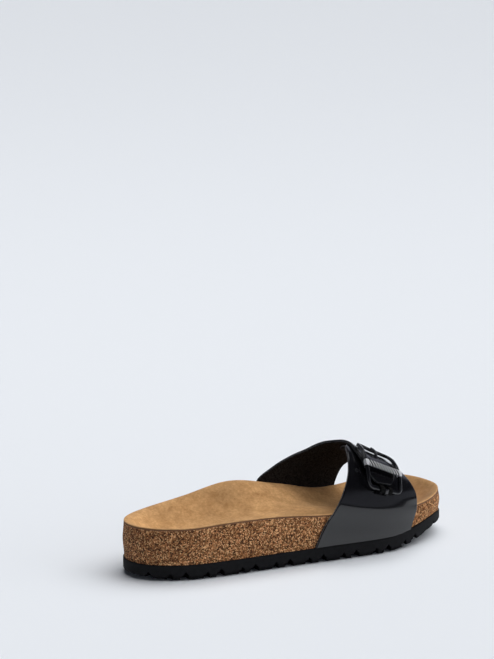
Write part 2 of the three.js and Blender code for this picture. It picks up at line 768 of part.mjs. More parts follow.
// The tab that holds the lower bar: a loop each side of the prong on a root that passes
// through a slit in the outer strap
function tabBlock(low, high, bottom, top, clearance) {
  const path = [
    { up: FRAME_WIDTH / 2, height: bottom },
    { up: FRAME_WIDTH / 2, height: top },
  ];
  return strip(path, low - clearance, high + clearance, TAB_ROOT + 2 * clearance, false);
}

function makeTab() {
  const slot = PRONG_WIDTH / 2 + GAP;
  const half = TAB_WIDTH / 2;
  const pieces = [tabBlock(-half, half, GAP, STRAP - GAP / 2, 0)];
  for (const [low, high] of [[-half, -slot], [slot, half]]) {
    pieces.push(strip(loopPath(TAB_THICK, 0, 2 * Math.PI, 12), low, high, TAB_THICK, true));
    pieces.push(tabBlock(low, high, GAP, frameBase(0) - GAP - TAB_THICK / 2, 0));
  }
  const solids = pieces.map(toSolid);
  return fromSolid(solids.reduce((all, piece) => all.add(piece)));
}

function makeOuterStrap() {
  const strap = makeStrap(OUTER_STRAP, () => 0, () => 1);
  return cut(strap, [tabBlock(-TAB_WIDTH / 2, TAB_WIDTH / 2, -1, STRAP + 1, GAP)]);
}

function makeInnerStrap() {
  return cut(makeStrap(INNER_STRAP, tongueLift, tongueWidth), [prong(PRONG_SLOT)]);
}

const group = new THREE.Group();

function add(name, geometry, color, roughness, metalness = 0) {
  const material = new THREE.MeshStandardMaterial({ color, roughness, metalness });
  const mesh = new THREE.Mesh(geometry, material);
  mesh.name = name;
  group.add(mesh);
}

add("outsole", makeOutsole(), 0x17181a, 0.8);
add("footbed_cork", makeFootbed(), 0xa5713f, 0.9);
add("insole_lining", makeLining(), 0xc49a5e, 0.95);
add("strap_outer", makeOuterStrap(), 0x0b0c0e, 0.12);
add("strap_inner", makeInnerStrap(), 0x0b0c0e, 0.12);
add("buckle_frame", makeFrame(), 0x0a0a0b, 0.25);
add("buckle_keeper", keeper(0), 0xb8babd, 0.3, 0.9);
add("buckle_prong", prong(0), 0x0a0a0b, 0.25);
add("buckle_tab", makeTab(), 0x0b0c0e, 0.3);

// The whole stands on the floor with its origin under the middle of its box
const box = new THREE.Box3().setFromObject(group);
const centre = box.getCenter(new THREE.Vector3());
group.position.set(-centre.x, -centre.y, -box.min.z);

export default group;
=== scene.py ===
"""Looks of a right-foot slide sandal: cork footbed, suede lining, rubber outsole, patent strap, buckle."""

import math

import bmesh
import bpy
import numpy as np
from mathutils import Matrix, Vector


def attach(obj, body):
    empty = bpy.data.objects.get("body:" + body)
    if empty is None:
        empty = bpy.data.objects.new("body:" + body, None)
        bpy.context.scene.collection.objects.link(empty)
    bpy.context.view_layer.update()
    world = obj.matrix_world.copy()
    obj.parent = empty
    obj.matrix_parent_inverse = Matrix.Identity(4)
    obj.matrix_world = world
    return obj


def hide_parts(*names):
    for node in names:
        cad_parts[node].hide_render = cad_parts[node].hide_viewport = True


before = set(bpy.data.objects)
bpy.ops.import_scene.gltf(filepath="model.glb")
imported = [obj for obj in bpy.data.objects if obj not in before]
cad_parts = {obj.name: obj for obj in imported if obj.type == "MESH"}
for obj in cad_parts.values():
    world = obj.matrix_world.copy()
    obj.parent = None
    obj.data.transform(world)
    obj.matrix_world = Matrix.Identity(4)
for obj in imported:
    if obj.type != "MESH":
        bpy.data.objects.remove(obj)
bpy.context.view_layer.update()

bl_info = {
    "name": "Slide Sandal Looks",
    "version": (1, 0, 0),
    "blender": (4, 5, 0),
    "location": "3D View > Sidebar > Sandal",
    "description": "Dresses the packed slide sandal and sets its studio",
    "category": "Mesh",
}

BODY = "root"
MM = 0.001

# Driving sizes of the part's source, in millimetres: X from the heel, +Y inner side, Z up
LENGTH = 256.0
HEEL_WIDTH = 70.0
WAIST_WIDTH = 77.0
BALL_WIDTH = 93.0
HEEL_RIM = 34.5
TOE_RIM = 27.5
ARCH_RISE = 9.0
HEEL_SEAT = 22.0
BALL_SEAT = 18.5
INSTEP_HEIGHT = 73.5
VAMP_HEIGHT = 46.5
SOLE = 8.0
TOE_SPRING = 6.5
SPRING_START = 0.72
SPRING_END = 0.95
TOE_THIN = 3.0
THIN_START = 0.92
HEEL_ROUND = 46.0
TOE_ROUND_OUTER = 80.0
TOE_ROUND_INNER = 28.0
TOE_TIP_Y = 3.0
HEEL_POWER = 2.2
TOE_POWER = 2.1
GAP = 0.3
SOLE_LEDGE = 0.8
END_TUCK = 1.6
LINING = 1.6
RIM_INSET = 1.6
WALL_BULGE = 0.9
STRAP = 2.2
STRAP_RECESS = 1.0
RECESS_RAMP = 26.0
SIDE_SHARE = 0.27
TOE_RIDGE = 2.2
TOE_RIDGE_AT = 0.8
TOE_RIDGE_SWEEP = 0.045
TOE_RIDGE_HALF = 8.0
PAD_RISE = 1.8
PAD_AT = 0.6
PAD_HALF = 17.0
PAD_SPREAD = 0.42

# Tread
TREAD_STEP = 3.0
TREAD_INSET = 2.2
HEEL_ROLL = 28.0
TOE_ROLL = 60.0
ROLL_SHARE = 0.3
NOTCH_PITCH = 13.2
NOTCH_SHIFT = 0.2
NOTCH_START = 1.48
NOTCH_REACH = 9.0
NOTCH_DEPTH = 3.2
NOTCH_HALF = 3.0
NOTCH_SMALL = 0.72
TREAD_PITCH = 11.0
TREAD_DEPTH = 1.6
TREAD_HALF = 1.5
TREAD_SWEEP = 5.0
TREAD_MARGIN = 14.0

# Buckle
BUCKLE_WIDTH = 32.0
BUCKLE_HEIGHT = 43.5
BUCKLE_TOP_AROUND = -0.12
BUCKLE_CORNER = 5.0
FRAME_WIDTH = 2.8
FRAME_THICK = 2.4
KEEPER_WIDTH = 4.6
KEEPER_THICK = 2.0
KEEPER_SINK = 0.9
KEEPER_PLACE = 0.365
PRONG_WIDTH = 2.6
PRONG_THICK = 1.6
PRONG_SLOT = 0.4
TAB_WIDTH = 11.0
TAB_THICK = 1.2

# Sizes that only the looks have, in millimetres unless a share
TOP_ROUND = 0.5
LIP_ROUND = 0.3
SIDE_STEP = 0.36
LEDGE = 6.0
MIDDLE_FROM_HEEL = 24.0
MIDDLE_FROM_TOE = 30.0
EDGE_EASE = 6.0
EDGE_GLOW = 1.2
RIB_MARGIN = 2.4
RIB_LEAN = 0.55
CUFF = 0.7
PRONG_REST = 0.8
TAB_ROOT = 2.0
SWELL = 0.95
SWELL_SPREAD = 0.085
SWELL_AT = (0.566, 0.707, 0.828)
SWELL_AROUND = (-0.66, -0.755, -0.79)

# Soft troughs and ridges of the straps: place along the last, around, reach along in
# millimetres, spread around and height
DENTS = (
    (0.735, -0.33, 5.5, 0.030, -0.35),
    (0.742, -0.43, 5.0, 0.028, 0.25),
    (0.70, -0.62, 16.0, 0.05, -0.25),
    (0.66, 0.30, 14.0, 0.07, -0.3),
    (0.74, 0.42, 10.0, 0.05, 0.3),
    (0.78, 0.10, 7.0, 0.06, -0.3),
)

# Steps of the grids
OUTSOLE_STEPS = 1240
FOOTBED_STEPS = 420
ARC_STEPS = 4001
STRAP_COLUMNS = 72
ROUND_STEPS = 4

# Patterns. Dark spots of the lining, smudges and painted shade, are in metres: middle, reach
# along each axis, strength
RING_MARK = 0.25
CRUMB_STIR = 0.8
CHIP_SCALE = 1.6
COARSER = 6.0
# Painted shade over the bed from under the strap to the toe: where it starts and ends along X, in metres, and
# its strength
TOE_SHADE = (0.05, 0.09, 0.6)
SMUDGE_AND_SHADE_SPOTS = (
    # A smudge on the inner wall
    ((-0.010, 0.021, 0.037), (0.012, 0.009, 0.012), 0.75),
    # Painted shade along the inner rim, twice, then across the heel's back
    ((-0.033, 0.029, 0.041), (0.030, 0.007, 0.012), 0.5),
    ((-0.082, 0.027, 0.034), (0.030, 0.007, 0.012), 0.45),
    ((-0.112, -0.004, 0.030), (0.012, 0.026, 0.014), 0.5),
    # Smudges on the bed
    ((0.004, 0.002, 0.029), (0.026, 0.014, 0.012), 0.35),
    ((-0.055, -0.008, 0.028), (0.016, 0.011, 0.012), 0.2),
)

# Studio. The picture's shift is in pixels of the photograph
CAMERA_ROLL = -0.34
CAMERA_AIM = (-0.00004, 0.00155, 0.023)
SENSOR = 36.0
PHOTO_HEIGHT = 659
PIXELS_PER_MM = 1.405
PICTURE_SHIFT = (-37.2, 188.4)
FLOOR_REACH = 8.0
FLOOR_LEVEL = -0.0002
PANEL_PLACE = (0.35, 0.75, 1.9)

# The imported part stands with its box's middle over the origin
SHIFT = np.array([-128.044, 1.548, 3.0])

# Sections of the last: place along it, then each half width, rim, arch, bed, how late the
# bed turns up on each side, and how far the foot of the side steps in
SECTIONS = {
    "at": np.array([0.0, 0.12, 0.25, 0.40, 0.55, 0.70, 0.85, 1.0]),
    "outer": np.array([0.455, 0.508, 0.503, 0.530, 0.477, 0.505, 0.492, 0.450])
    * np.repeat([HEEL_WIDTH, WAIST_WIDTH, BALL_WIDTH], [2, 2, 4]),
    "inner": np.array([0.430, 0.490, 0.492, 0.478, 0.398, 0.458, 0.505, 0.510])
    * np.repeat([HEEL_WIDTH, WAIST_WIDTH, BALL_WIDTH], [2, 2, 4]),
    "rim": np.array([1.0, 0.99, 1.02, 0.99, 0.885, 1.02, 0.95, 1.04])
    * np.repeat([HEEL_RIM, TOE_RIM], [5, 3]),
    "arch": np.array([0.0, 0.0, 0.2, 1.0, 0.62, -0.2, 0.0, 0.0]) * ARCH_RISE,
    "bed": np.array([1.05, 1.0, 1.06, 1.17, 1.10, 1.0, 1.07, 1.22])
    * np.repeat([HEEL_SEAT, BALL_SEAT], [5, 3]),
    "cup_outer": np.array([2.4, 2.5, 2.8, 3.2, 3.6, 4.5, 6.5, 8.0]),
    "cup_inner": np.array([2.4, 2.4, 2.1, 1.9, 2.3, 3.8, 6.5, 8.0]),
    "tuck": np.array([1.0, 0.7, 0.2, 0.0, 0.0, 0.0, 0.4, 1.0]) * END_TUCK,
}
INSTEP = {
    "at": np.array([0.45, 0.64, 0.75, 0.84]),
    "crown": np.array([1.185, 1.0, 1.24, 0.975]) * np.repeat([INSTEP_HEIGHT, VAMP_HEIGHT], 2),
    "ridge": np.array([0.02, 0.04, 0.05, 0.05]) * BALL_WIDTH,
    "square": np.array([2.0, 2.0, 2.3, 2.7]),
}
OUTER_STRAP = {
    "at": np.array([-1.0, -0.86, -0.73, -0.58, -0.46, -0.32, -0.16, 0.0, 0.2]),
    "rear": np.array([0.498, 0.522, 0.554, 0.593, 0.619, 0.642, 0.668, 0.710, 0.730]) * LENGTH,
    "front": np.array([0.806, 0.824, 0.835, 0.838, 0.834, 0.830, 0.831, 0.830, 0.824]) * LENGTH,
}
INNER_STRAP = {
    "at": np.array([-0.51, -0.45, -0.38, -0.22, -0.10, 0.02, 0.22, 0.37, 0.50, 0.62, 0.73, 1.0]),
    "rear": np.array([0.679, 0.677, 0.670, 0.676, 0.692, 0.706, 0.704, 0.659, 0.597, 0.539,
                      0.494, 0.466]) * LENGTH,
    "front": np.array([0.750, 0.755, 0.771, 0.800, 0.816, 0.825, 0.820, 0.808, 0.788, 0.775,
                       0.764, 0.748]) * LENGTH,
}
TONGUE_ROUND = 0.1
BUCKLE = {
    "at": np.array([0.0, KEEPER_PLACE, 1.0]),
    "middle": np.array([0.713, 0.719, 0.750]) * LENGTH,
    "slope": np.array([0.84, 0.85, 0.92]),
    "tilt": np.array([0.035, 0.045, -0.03]),
    "rise": np.array([STRAP + PRONG_THICK + 2 * GAP, 2 * STRAP + PRONG_THICK + 4 * GAP,
                      2 * STRAP + 2 * GAP]),
}


# Curves and the foot form

def mix(a, b, share):
    """The place a share of the way from a to b."""
    return a + (b - a) * share


def ease(value):
    """Smooth step: 3v^2 - 2v^3 of a value held between 0 and 1."""
    held = np.clip(value, 0, 1)
    return held * held * (3 - 2 * held)


def smooth(table, at, key):
    """A column as a cubic through its rows, each row's slope taken from its two neighbours."""
    place, column = table["at"], table[key]
    last = len(place) - 1
    before = np.maximum(np.arange(last + 1) - 1, 0)
    after = np.minimum(np.arange(last + 1) + 1, last)
    slope = (column[after] - column[before]) / (place[after] - place[before])
    i = np.clip(np.searchsorted(place, at, side="left"), 1, last)
    span = place[i] - place[i - 1]
    t = np.clip((at - place[i - 1]) / span, 0, 1)
    rise = column[i] - column[i - 1]
    start = span * slope[i - 1]
    end = span * slope[i]
    bend = start + end - 2 * rise
    return column[i - 1] + t * (start + t * (3 * rise - 2 * start - end + t * bend))


def floor_height(x):
    """Toe spring: a smooth step from the spring's start to its end."""
    return TOE_SPRING * ease((x / LENGTH - SPRING_START) / (SPRING_END - SPRING_START))


def sole_top(x):
    """Thickness of the sole's edge, thinner towards the toe's tip."""
    return SOLE - TOE_THIN * ease((x / LENGTH - THIN_START) / (1 - THIN_START))


def round_end(share, power):
    """A superellipse quarter, from 0 at the tip to 1."""
    return (1 - (1 - np.clip(share, 0, 1)) ** power) ** (1 / power)


def edge_y(x, side):
    """Half width of the footbed on a side (-1 outer, 1 inner), closed by its rounded ends."""
    outer = smooth(SECTIONS, x / LENGTH, "outer")
    inner = smooth(SECTIONS, x / LENGTH, "inner")
    half = np.where(side < 0, -outer, inner)
    heel = half * round_end(x / HEEL_ROUND, HEEL_POWER)
    reach = np.where(side < 0, TOE_ROUND_OUTER, TOE_ROUND_INNER)
    toe = mix(TOE_TIP_Y, half, round_end((LENGTH - x) / reach, TOE_POWER))
    return np.where(x < LENGTH / 2, heel, toe)


def station_x(turn):
    """Place along the last at a turn from 0 (heel) to pi (toe)."""
    return LENGTH * (1 - np.cos(turn)) / 2


def outline(turn, side, reach):
    """Plan outline at a turn, moved outwards by reach along its own normal."""
    step = 1e-3
    x = station_x(turn)
    before = station_x(np.maximum(0, turn - step))
    after = station_x(np.minimum(np.pi, turn + step))
    run = after - before
    rise = edge_y(after, side) - edge_y(before, side)
    scale = side * reach / np.hypot(run, rise)
    place_x = x - rise * scale
    place_y = edge_y(x, side) + run * scale
    heel = turn < 1e-6
    toe = turn > np.pi - 1e-6
    place_x = np.where(heel, -reach, np.where(toe, LENGTH + reach, place_x))
    place_y = np.where(heel, 0.0, np.where(toe, TOE_TIP_Y, place_y))
    return place_x, place_y


def recess(x, side):
    """Depth of the step under the strap, eased in behind and in front of it."""
    rear = np.where(side < 0, OUTER_STRAP["rear"][0], INNER_STRAP["rear"][-1])
    front = np.where(side < 0, OUTER_STRAP["front"][0], INNER_STRAP["front"][-1])
    return STRAP_RECESS * ease((x - rear) / RECESS_RAMP + 0.5) * ease((front - x) / RECESS_RAMP + 1.2)


def side_point(turn, side, share, reach):
    """Footbed side, share 0 at the outsole to 1 at the rim: tucked in, bulged and recessed."""
    turn, side, share = np.broadcast_arrays(turn * 1.0, side * 1.0, share * 1.0)
    x = station_x(turn)
    step_in = recess(x, side)
    tuck = smooth(SECTIONS, x / LENGTH, "tuck")
    bulge = WALL_BULGE * np.sin(np.pi * share) ** 2 * (1 - step_in / STRAP_RECESS)
    inset = mix(tuck, RIM_INSET, ease(share)) + step_in
    place_x, place_y = outline(turn, side, bulge - inset + reach)
    rim = smooth(SECTIONS, x / LENGTH, "rim")
    rim = rim + np.where(side > 0, smooth(SECTIONS, x / LENGTH, "arch"), 0)
    base = sole_top(place_x) + floor_height(place_x) + GAP
    return np.stack([place_x, place_y, mix(base, rim, share)], -1)


def bed_point(turn, side, ring):
    """Footbed top, ring 0 on the middle line to 1 on the rim: a cup, a toe ridge and a pad."""
    turn, side, ring = np.broadcast_arrays(turn * 1.0, side * 1.0, ring * 1.0)
    rim = side_point(turn, side, 1, 0)
    share = (1 - np.cos(turn)) / 2
    middle_x = mix(HEEL_WIDTH / 2, LENGTH - BALL_WIDTH / 2, share)
    middle_y = (edge_y(middle_x, 1) + edge_y(middle_x, -1)) / 2
    x = mix(middle_x, rim[..., 0], ring)
    cup_outer = smooth(SECTIONS, share, "cup_outer")
    cup_inner = smooth(SECTIONS, share, "cup_inner")
    cup = np.where(side < 0, cup_outer, cup_inner)
    rise = np.sin(np.pi / 2 * ring ** cup)
    ridge_x = LENGTH * (TOE_RIDGE_AT + TOE_RIDGE_SWEEP * side * ring)
    ridge = TOE_RIDGE * np.exp(-(((x - ridge_x) / TOE_RIDGE_HALF) ** 2)) * (1 - ring ** 3)
    pad = PAD_RISE * np.exp(-(((x - PAD_AT * LENGTH) / PAD_HALF) ** 2) - (ring / PAD_SPREAD) ** 2)
    bed = smooth(SECTIONS, x / LENGTH, "bed") + ridge + pad
    return np.stack([x, mix(middle_y, rim[..., 1], ring), mix(bed, rim[..., 2], rise)], -1)


def foot_point(x, around):
    """Foot surface: up the footbed's side, then a superellipse from its rim to the crown."""
    x, around = np.broadcast_arrays(x * 1.0, around * 1.0)
    side = np.where(around < 0, -1.0, 1.0)
    turn = np.arccos(np.clip(1 - 2 * x / LENGTH, -1, 1))
    up = (1 - np.abs(around)) / SIDE_SHARE
    low = side_point(turn, side, np.clip(up, 0, 1), GAP)
    rim = side_point(turn, side, 1, GAP)
    at = x / LENGTH
    crown = smooth(INSTEP, at, "crown")
    ridge = smooth(INSTEP, at, "ridge")
    square = smooth(INSTEP, at, "square")
    angle = np.pi / 2 * (1 - np.clip(np.abs(around) / (1 - SIDE_SHARE), 0, 1))
    run, rise = np.cos(angle), np.sin(angle)
    reach = 1 / (np.abs(run) ** square + rise ** square) ** (1 / square)
    high = np.stack([
        x + (rim[..., 0] - x) * run,
        ridge + (rim[..., 1] - ridge) * run * reach,
        rim[..., 2] + (crown - rim[..., 2]) * rise * reach,
    ], -1)
    return np.where((up < 1)[..., None], low, high)


def raised(x, around, height):
    """Foot surface moved by a height along its normal, from differences along and across."""
    x, around, height = np.broadcast_arrays(x * 1.0, around * 1.0, height * 1.0)
    step = 0.004
    along = foot_point(x + step * LENGTH, around) - foot_point(x - step * LENGTH, around)
    across = foot_point(x, np.minimum(1, around + step)) - foot_point(x, np.maximum(-1, around - step))
    normal = np.cross(along, across)
    normal /= np.linalg.norm(normal, axis=-1, keepdims=True)
    return foot_point(x, around) + normal * height[..., None]


def tongue_lift(around):
    """Lift of the inner strap: over the outer strap's end, then over the prong."""
    over = (STRAP + GAP) * ease((0.44 - around) / 0.18)
    return over + (PRONG_THICK + GAP) * ease((-0.18 - around) / 0.18)


def tongue_width(around):
    """Share of the tongue's full width near its rounded end."""
    share = np.clip((around - INNER_STRAP["at"][0]) / TONGUE_ROUND, 0, 1)
    return mix(0.45, 1.0, np.sqrt(1 - (1 - share) ** 2))


def side_run():
    """Millimetres along the foot's outer side per unit of around, at the buckle."""
    around = np.linspace(-0.55, -0.05, 21)
    line = foot_point(np.full(21, BUCKLE["middle"][1]), around)
    return np.linalg.norm(np.diff(line, axis=0), axis=1).sum() / 0.5


SIDE_RUN = side_run()


def pattern_point(across, up, height):
    """The buckle's flat pattern laid on the foot: x slides with across, around with up."""
    across, up, height = np.broadcast_arrays(across * 1.0, up * 1.0, height * 1.0)
    share = up / BUCKLE_HEIGHT
    x = smooth(BUCKLE, share, "middle") + across * smooth(BUCKLE, share, "slope")
    fall = (BUCKLE_HEIGHT - up) / SIDE_RUN
    tilt = across / BUCKLE_WIDTH * smooth(BUCKLE, share, "tilt")
    return raised(x, BUCKLE_TOP_AROUND - fall - tilt, height)


def frame_base(up):
    """Height of the buckle frame's back over the foot."""
    return smooth(BUCKLE, up / BUCKLE_HEIGHT, "rise")


# Meshes

class Shell:
    """Grids of points that become one closed mesh, with a part number and a flat place each."""

    def __init__(self):
        self.points, self.faces, self.parts, self.places, self.marks = [], [], [], [], []
        self.count = 0

    def patch(self, grid, flip=False, part=0, place=None, mark=None):
        """Adds a grid of rows and columns; flip turns its faces round."""
        rows, columns = grid.shape[:2]
        index = self.count + np.arange(rows * columns).reshape(rows, columns)
        corners = [index[:-1, :-1], index[1:, :-1], index[1:, 1:], index[:-1, 1:]]
        if flip:
            corners.reverse()
        faces = np.stack([c.ravel() for c in corners], 1)
        flat = grid[..., :2] if place is None else place
        value = np.zeros((rows, columns)) if mark is None else np.broadcast_to(mark, (rows, columns))
        self.points.append(grid.reshape(-1, 3))
        self.faces.append(faces)
        self.parts.append(np.full(len(faces), part))
        self.places.append(np.broadcast_to(flat, (rows, columns, 2)).reshape(-1, 2))
        self.marks.append(value.ravel())
        self.count += rows * columns

    def build(self, name, materials, sharp=38):
        """Joins equal points, drops flat faces, turns the faces outwards and makes the object."""
        points, faces, parts, places, marks = (
            np.concatenate(grids) for grids in (self.points, self.faces, self.parts, self.places, self.marks))
        _, first, join = np.unique(np.round(points, 3), axis=0, return_index=True, return_inverse=True)
        join = join.reshape(-1)
        joined = join[faces]
        same = joined == np.roll(joined, -1, axis=1)
        crossed = (joined[:, 0] == joined[:, 2]) | (joined[:, 1] == joined[:, 3])
        four = (same.sum(1) == 0) & ~crossed
        three = (same.sum(1) == 1) & ~crossed
        loops = np.concatenate([faces[four].ravel(), faces[three][~same[three]]])
        sizes = np.concatenate([np.full(four.sum(), 4), np.full(three.sum(), 3)])
        numbers = np.concatenate([parts[four], parts[three]])
        starts = np.concatenate([[0], np.cumsum(sizes)[:-1]])
        spots = points[first]
        mesh = bpy.data.meshes.new(name)
        mesh.vertices.add(len(spots))
        mesh.vertices.foreach_set("co", ((spots + SHIFT) * MM).astype(np.float32).ravel())
        mesh.loops.add(len(loops))
        mesh.loops.foreach_set("vertex_index", join[loops].astype(np.int32))
        mesh.polygons.add(len(sizes))
        mesh.polygons.foreach_set("loop_start", starts.astype(np.int32))
        mesh.polygons.foreach_set("material_index", numbers.astype(np.int32))
        layer = mesh.uv_layers.new(name="UVMap")
        layer.data.foreach_set("uv", (places[loops] * MM).astype(np.float32).ravel())
        marked = mesh.attributes.new("mark", "FLOAT", "POINT")
        marked.data.foreach_set("value", marks[first].astype(np.float32))
        mesh.update(calc_edges=True)
        mesh.validate()
        solid = bmesh.new()
        solid.from_mesh(mesh)
        if solid.calc_volume(signed=True) < 0:
            mesh.flip_normals()
        solid.free()
        mesh.polygons.foreach_set("use_smooth", np.ones(len(mesh.polygons), bool))
        mesh.set_sharp_from_angle(angle=math.radians(sharp))
        for material in materials:
            mesh.materials.append(material)
        piece = bpy.data.objects.new(name, mesh)
        bpy.context.scene.collection.objects.link(piece)
        return piece


def settle(piece, slot, *nodes):
    """Puts a finished piece on the body in place of its CAD nodes."""
    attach(piece, BODY)
    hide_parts(*nodes)


ROUNDING = np.linspace(0, np.pi / 2, ROUND_STEPS + 1)[:-1]


def spaced(low, high, steps, fine):
    """Places from low to high with rounding steps of a fine reach at both ends."""
    start = fine * (1 - np.cos(ROUNDING))
    middle = np.linspace(low + fine, high - fine, steps + 1)
    return np.concatenate([low + start, middle, high - start[::-1]])


def roundness(steps):
    """Height share over the rounding of spaced: a sine up, one, and a sine down."""
    rise = np.sin(ROUNDING)
    return np.concatenate([rise, np.ones(steps + 1), rise[::-1]])


# Outsole

def ruler(path):
    """Distance gone along a path of points, from its first."""
    return np.concatenate([[0], np.cumsum(np.linalg.norm(np.diff(path, axis=0), axis=1))])


def sole_edge(turn, side, step_in):
    """Plan outline of the sole, stepped in from its edge."""
    tuck = smooth(SECTIONS, station_x(turn) / LENGTH, "tuck")
    return np.stack(outline(turn, side, SOLE_LEDGE - tuck - step_in), -1)


def notch_places():
    """Turn, side and size of each edge notch, with a longer step after each large one."""
    steps = 400
    share = np.arange(2 * steps) / steps
    side = np.where(share < 1, -1.0, 1.0)
    turn = np.pi * np.where(share < 1, share, 2 - share)
    gone = ruler(sole_edge(turn, side, 0.0))
    large = np.arange(int(gone[-1] / NOTCH_PITCH) + 2) % 2 == 0
    step = NOTCH_PITCH * np.where(large, 1 + NOTCH_SHIFT, 1 - NOTCH_SHIFT)
    place = NOTCH_PITCH * NOTCH_START + np.concatenate([[0], np.cumsum(step[:-1])])
    hit = np.searchsorted(gone, place[place <= gone[-1]])
    return turn[hit], side[hit], np.where(large[:len(hit)], 1.0, NOTCH_SMALL)


def tread_low(x):
    """Height of the tread layer's underside, higher towards the heel's back and the toe's tip."""
    return -TREAD_STEP * mix(ROLL_SHARE, 1, ease(x / HEEL_ROLL) * ease((LENGTH - x) / TOE_ROLL))


def snapped(line, marks):
    """The nearest entries of a rising line moved onto the marks."""
    line = line.copy()
    near = np.abs(line[:, None] - marks[None, :]).argmin(0)
    line[near] = marks
    return np.maximum.accumulate(line)


def outsole_side(side, turns, notches):
    """Rows of one side of the sole, from the top's middle over the wall to the tread's middle.

    Notch: a V of the arc distance from its middle, level to its reach inwards, with upright
    walls through the tread layer. Chevron: a V of the distance along X from its swept line."""
    notch_turn, notch_side, notch_size = notches
    own = notch_side == side
    fine = np.linspace(0, np.pi, ARC_STEPS)
    arc = ruler(np.stack(outline(fine, side, 0.0), -1))
    centre = np.interp(notch_turn[own], fine, arc)
    size = notch_size[own]
    half = NOTCH_HALF * size
    marks = np.concatenate([centre - half - SIDE_STEP, centre - half, centre, centre + half,
                            centre + half + SIDE_STEP])
    marks = np.sort(np.clip(marks, arc[1], arc[-2]))
    place = snapped(np.interp(turns, fine, arc), marks)
    edge_turn = np.interp(place, arc, fine)
    away = np.abs(place[:, None] - centre[None, :])
    nearest = away.argmin(1)
    grow = size[nearest]
    off = away[np.arange(len(place)), nearest] / (NOTCH_HALF * grow)
    notch = NOTCH_DEPTH * grow * np.clip(1 - off, 0, 1)
    reach_in = np.where(off < 1 + 1e-6, NOTCH_REACH * grow, TREAD_INSET)

    rim = sole_edge(edge_turn, side, 0.0)
    plain = sole_edge(turns, side, 0.0)
    x = station_x(turns)
    middle_x = np.clip(x + TREAD_SWEEP, MIDDLE_FROM_HEEL, LENGTH - MIDDLE_FROM_TOE)
    middle = np.stack([middle_x, (edge_y(middle_x, 1) + edge_y(middle_x, -1)) / 2], -1)
    near_line = np.abs((x + TREAD_PITCH / 2) % TREAD_PITCH - TREAD_PITCH / 2)
    within = (x > 2 * TREAD_PITCH - TREAD_HALF) & (x < LENGTH - TREAD_PITCH)
    chevron = TREAD_DEPTH * np.clip(1 - near_line / TREAD_HALF, 0, 1) * within - TREAD_STEP

    def inward(start, distance):
        way = middle - start
        long = np.linalg.norm(way, axis=1, keepdims=True)
        return start + way * np.minimum(np.reshape(distance, (-1, 1)) / long, 1.0)

    def at(flat, height):
        return np.concatenate([flat, (height + floor_height(flat[:, 0]))[:, None]], 1)

    ledge = inward(plain, LEDGE)
    rows = [at(middle, sole_top(middle[:, 0])), at(ledge, sole_top(ledge[:, 0]))]
    for turn in np.linspace(np.pi / 2, 0, 4):
        flat = sole_edge(edge_turn, side, TOP_ROUND * (1 - np.cos(turn)))
        rows.append(at(flat, sole_top(flat[:, 0]) - TOP_ROUND * (1 - np.sin(turn))))
    for share in (0.75, 0.5, 0.25):
        rows.append(at(rim, mix(notch + LIP_ROUND, sole_top(rim[:, 0]) - TOP_ROUND, share)))
    for turn in np.linspace(0, np.pi / 2, 3):
        flat = sole_edge(edge_turn, side, LIP_ROUND * (1 - np.cos(turn)))
        rows.append(at(flat, notch + LIP_ROUND * (1 - np.sin(turn))))
    inner = inward(rim, reach_in)
    rows.append(at(inner, notch))
    low = tread_low(inner[:, 0])
    rows.append(at(inner, low + LIP_ROUND))
    inner = inward(rim, reach_in + LIP_ROUND)
    rows.append(at(inner, low))
    margin = inward(plain, TREAD_MARGIN)
    rows.append(at(margin, tread_low(margin[:, 0])))
    for share in (0.01, 0.35, 0.7, 1.0):
        flat = mix(margin, middle, share)
        rows.append(at(flat, np.maximum(tread_low(flat[:, 0]), chevron)))
    return np.stack(rows, 1)


def make_outsole():
    """Outsole from its two sides, each a grid of stations by rows round the section."""
    turns = np.linspace(0, np.pi, OUTSOLE_STEPS)
    lines = np.arange(2, int((LENGTH - TREAD_PITCH) / TREAD_PITCH) + 1) * TREAD_PITCH
    marks = np.sort(np.concatenate([lines - TREAD_HALF, lines, lines + TREAD_HALF]))
    turns = snapped(turns, np.arccos(1 - 2 * marks / LENGTH))
    notches = notch_places()
    shell = Shell()
    shell.patch(outsole_side(-1.0, turns, notches))
    shell.patch(outsole_side(1.0, turns, notches), flip=True)
    return shell


# Footbed and lining

def make_footbed():
    """Cork body: its side as share from the outsole to the lining, closed above and below."""
    turns = np.linspace(0, np.pi, FOOTBED_STEPS)[:, None]
    shell = Shell()
    for side in (-1.0, 1.0):
        rim = side_point(turns, side, 1, 0)
        base = side_point(turns, side, 0, 0)
        full = 1 - LINING / (rim[..., 2] - base[..., 2])
        wall = side_point(turns, side, np.linspace(0, 1, 21)[None, :] * full, 0)
        wall[:, 0, 2] -= GAP
        top = bed_point(turns, side, np.linspace(1, 0, 12)[None, :])
        top[..., 2] -= LINING
        foot = bed_point(turns, side, 0)
        foot[:, 0, 2] = sole_top(foot[:, 0, 0]) + floor_height(foot[:, 0, 0])
        shell.patch(np.concatenate([foot, wall, top], 1), flip=side < 0)
    return shell


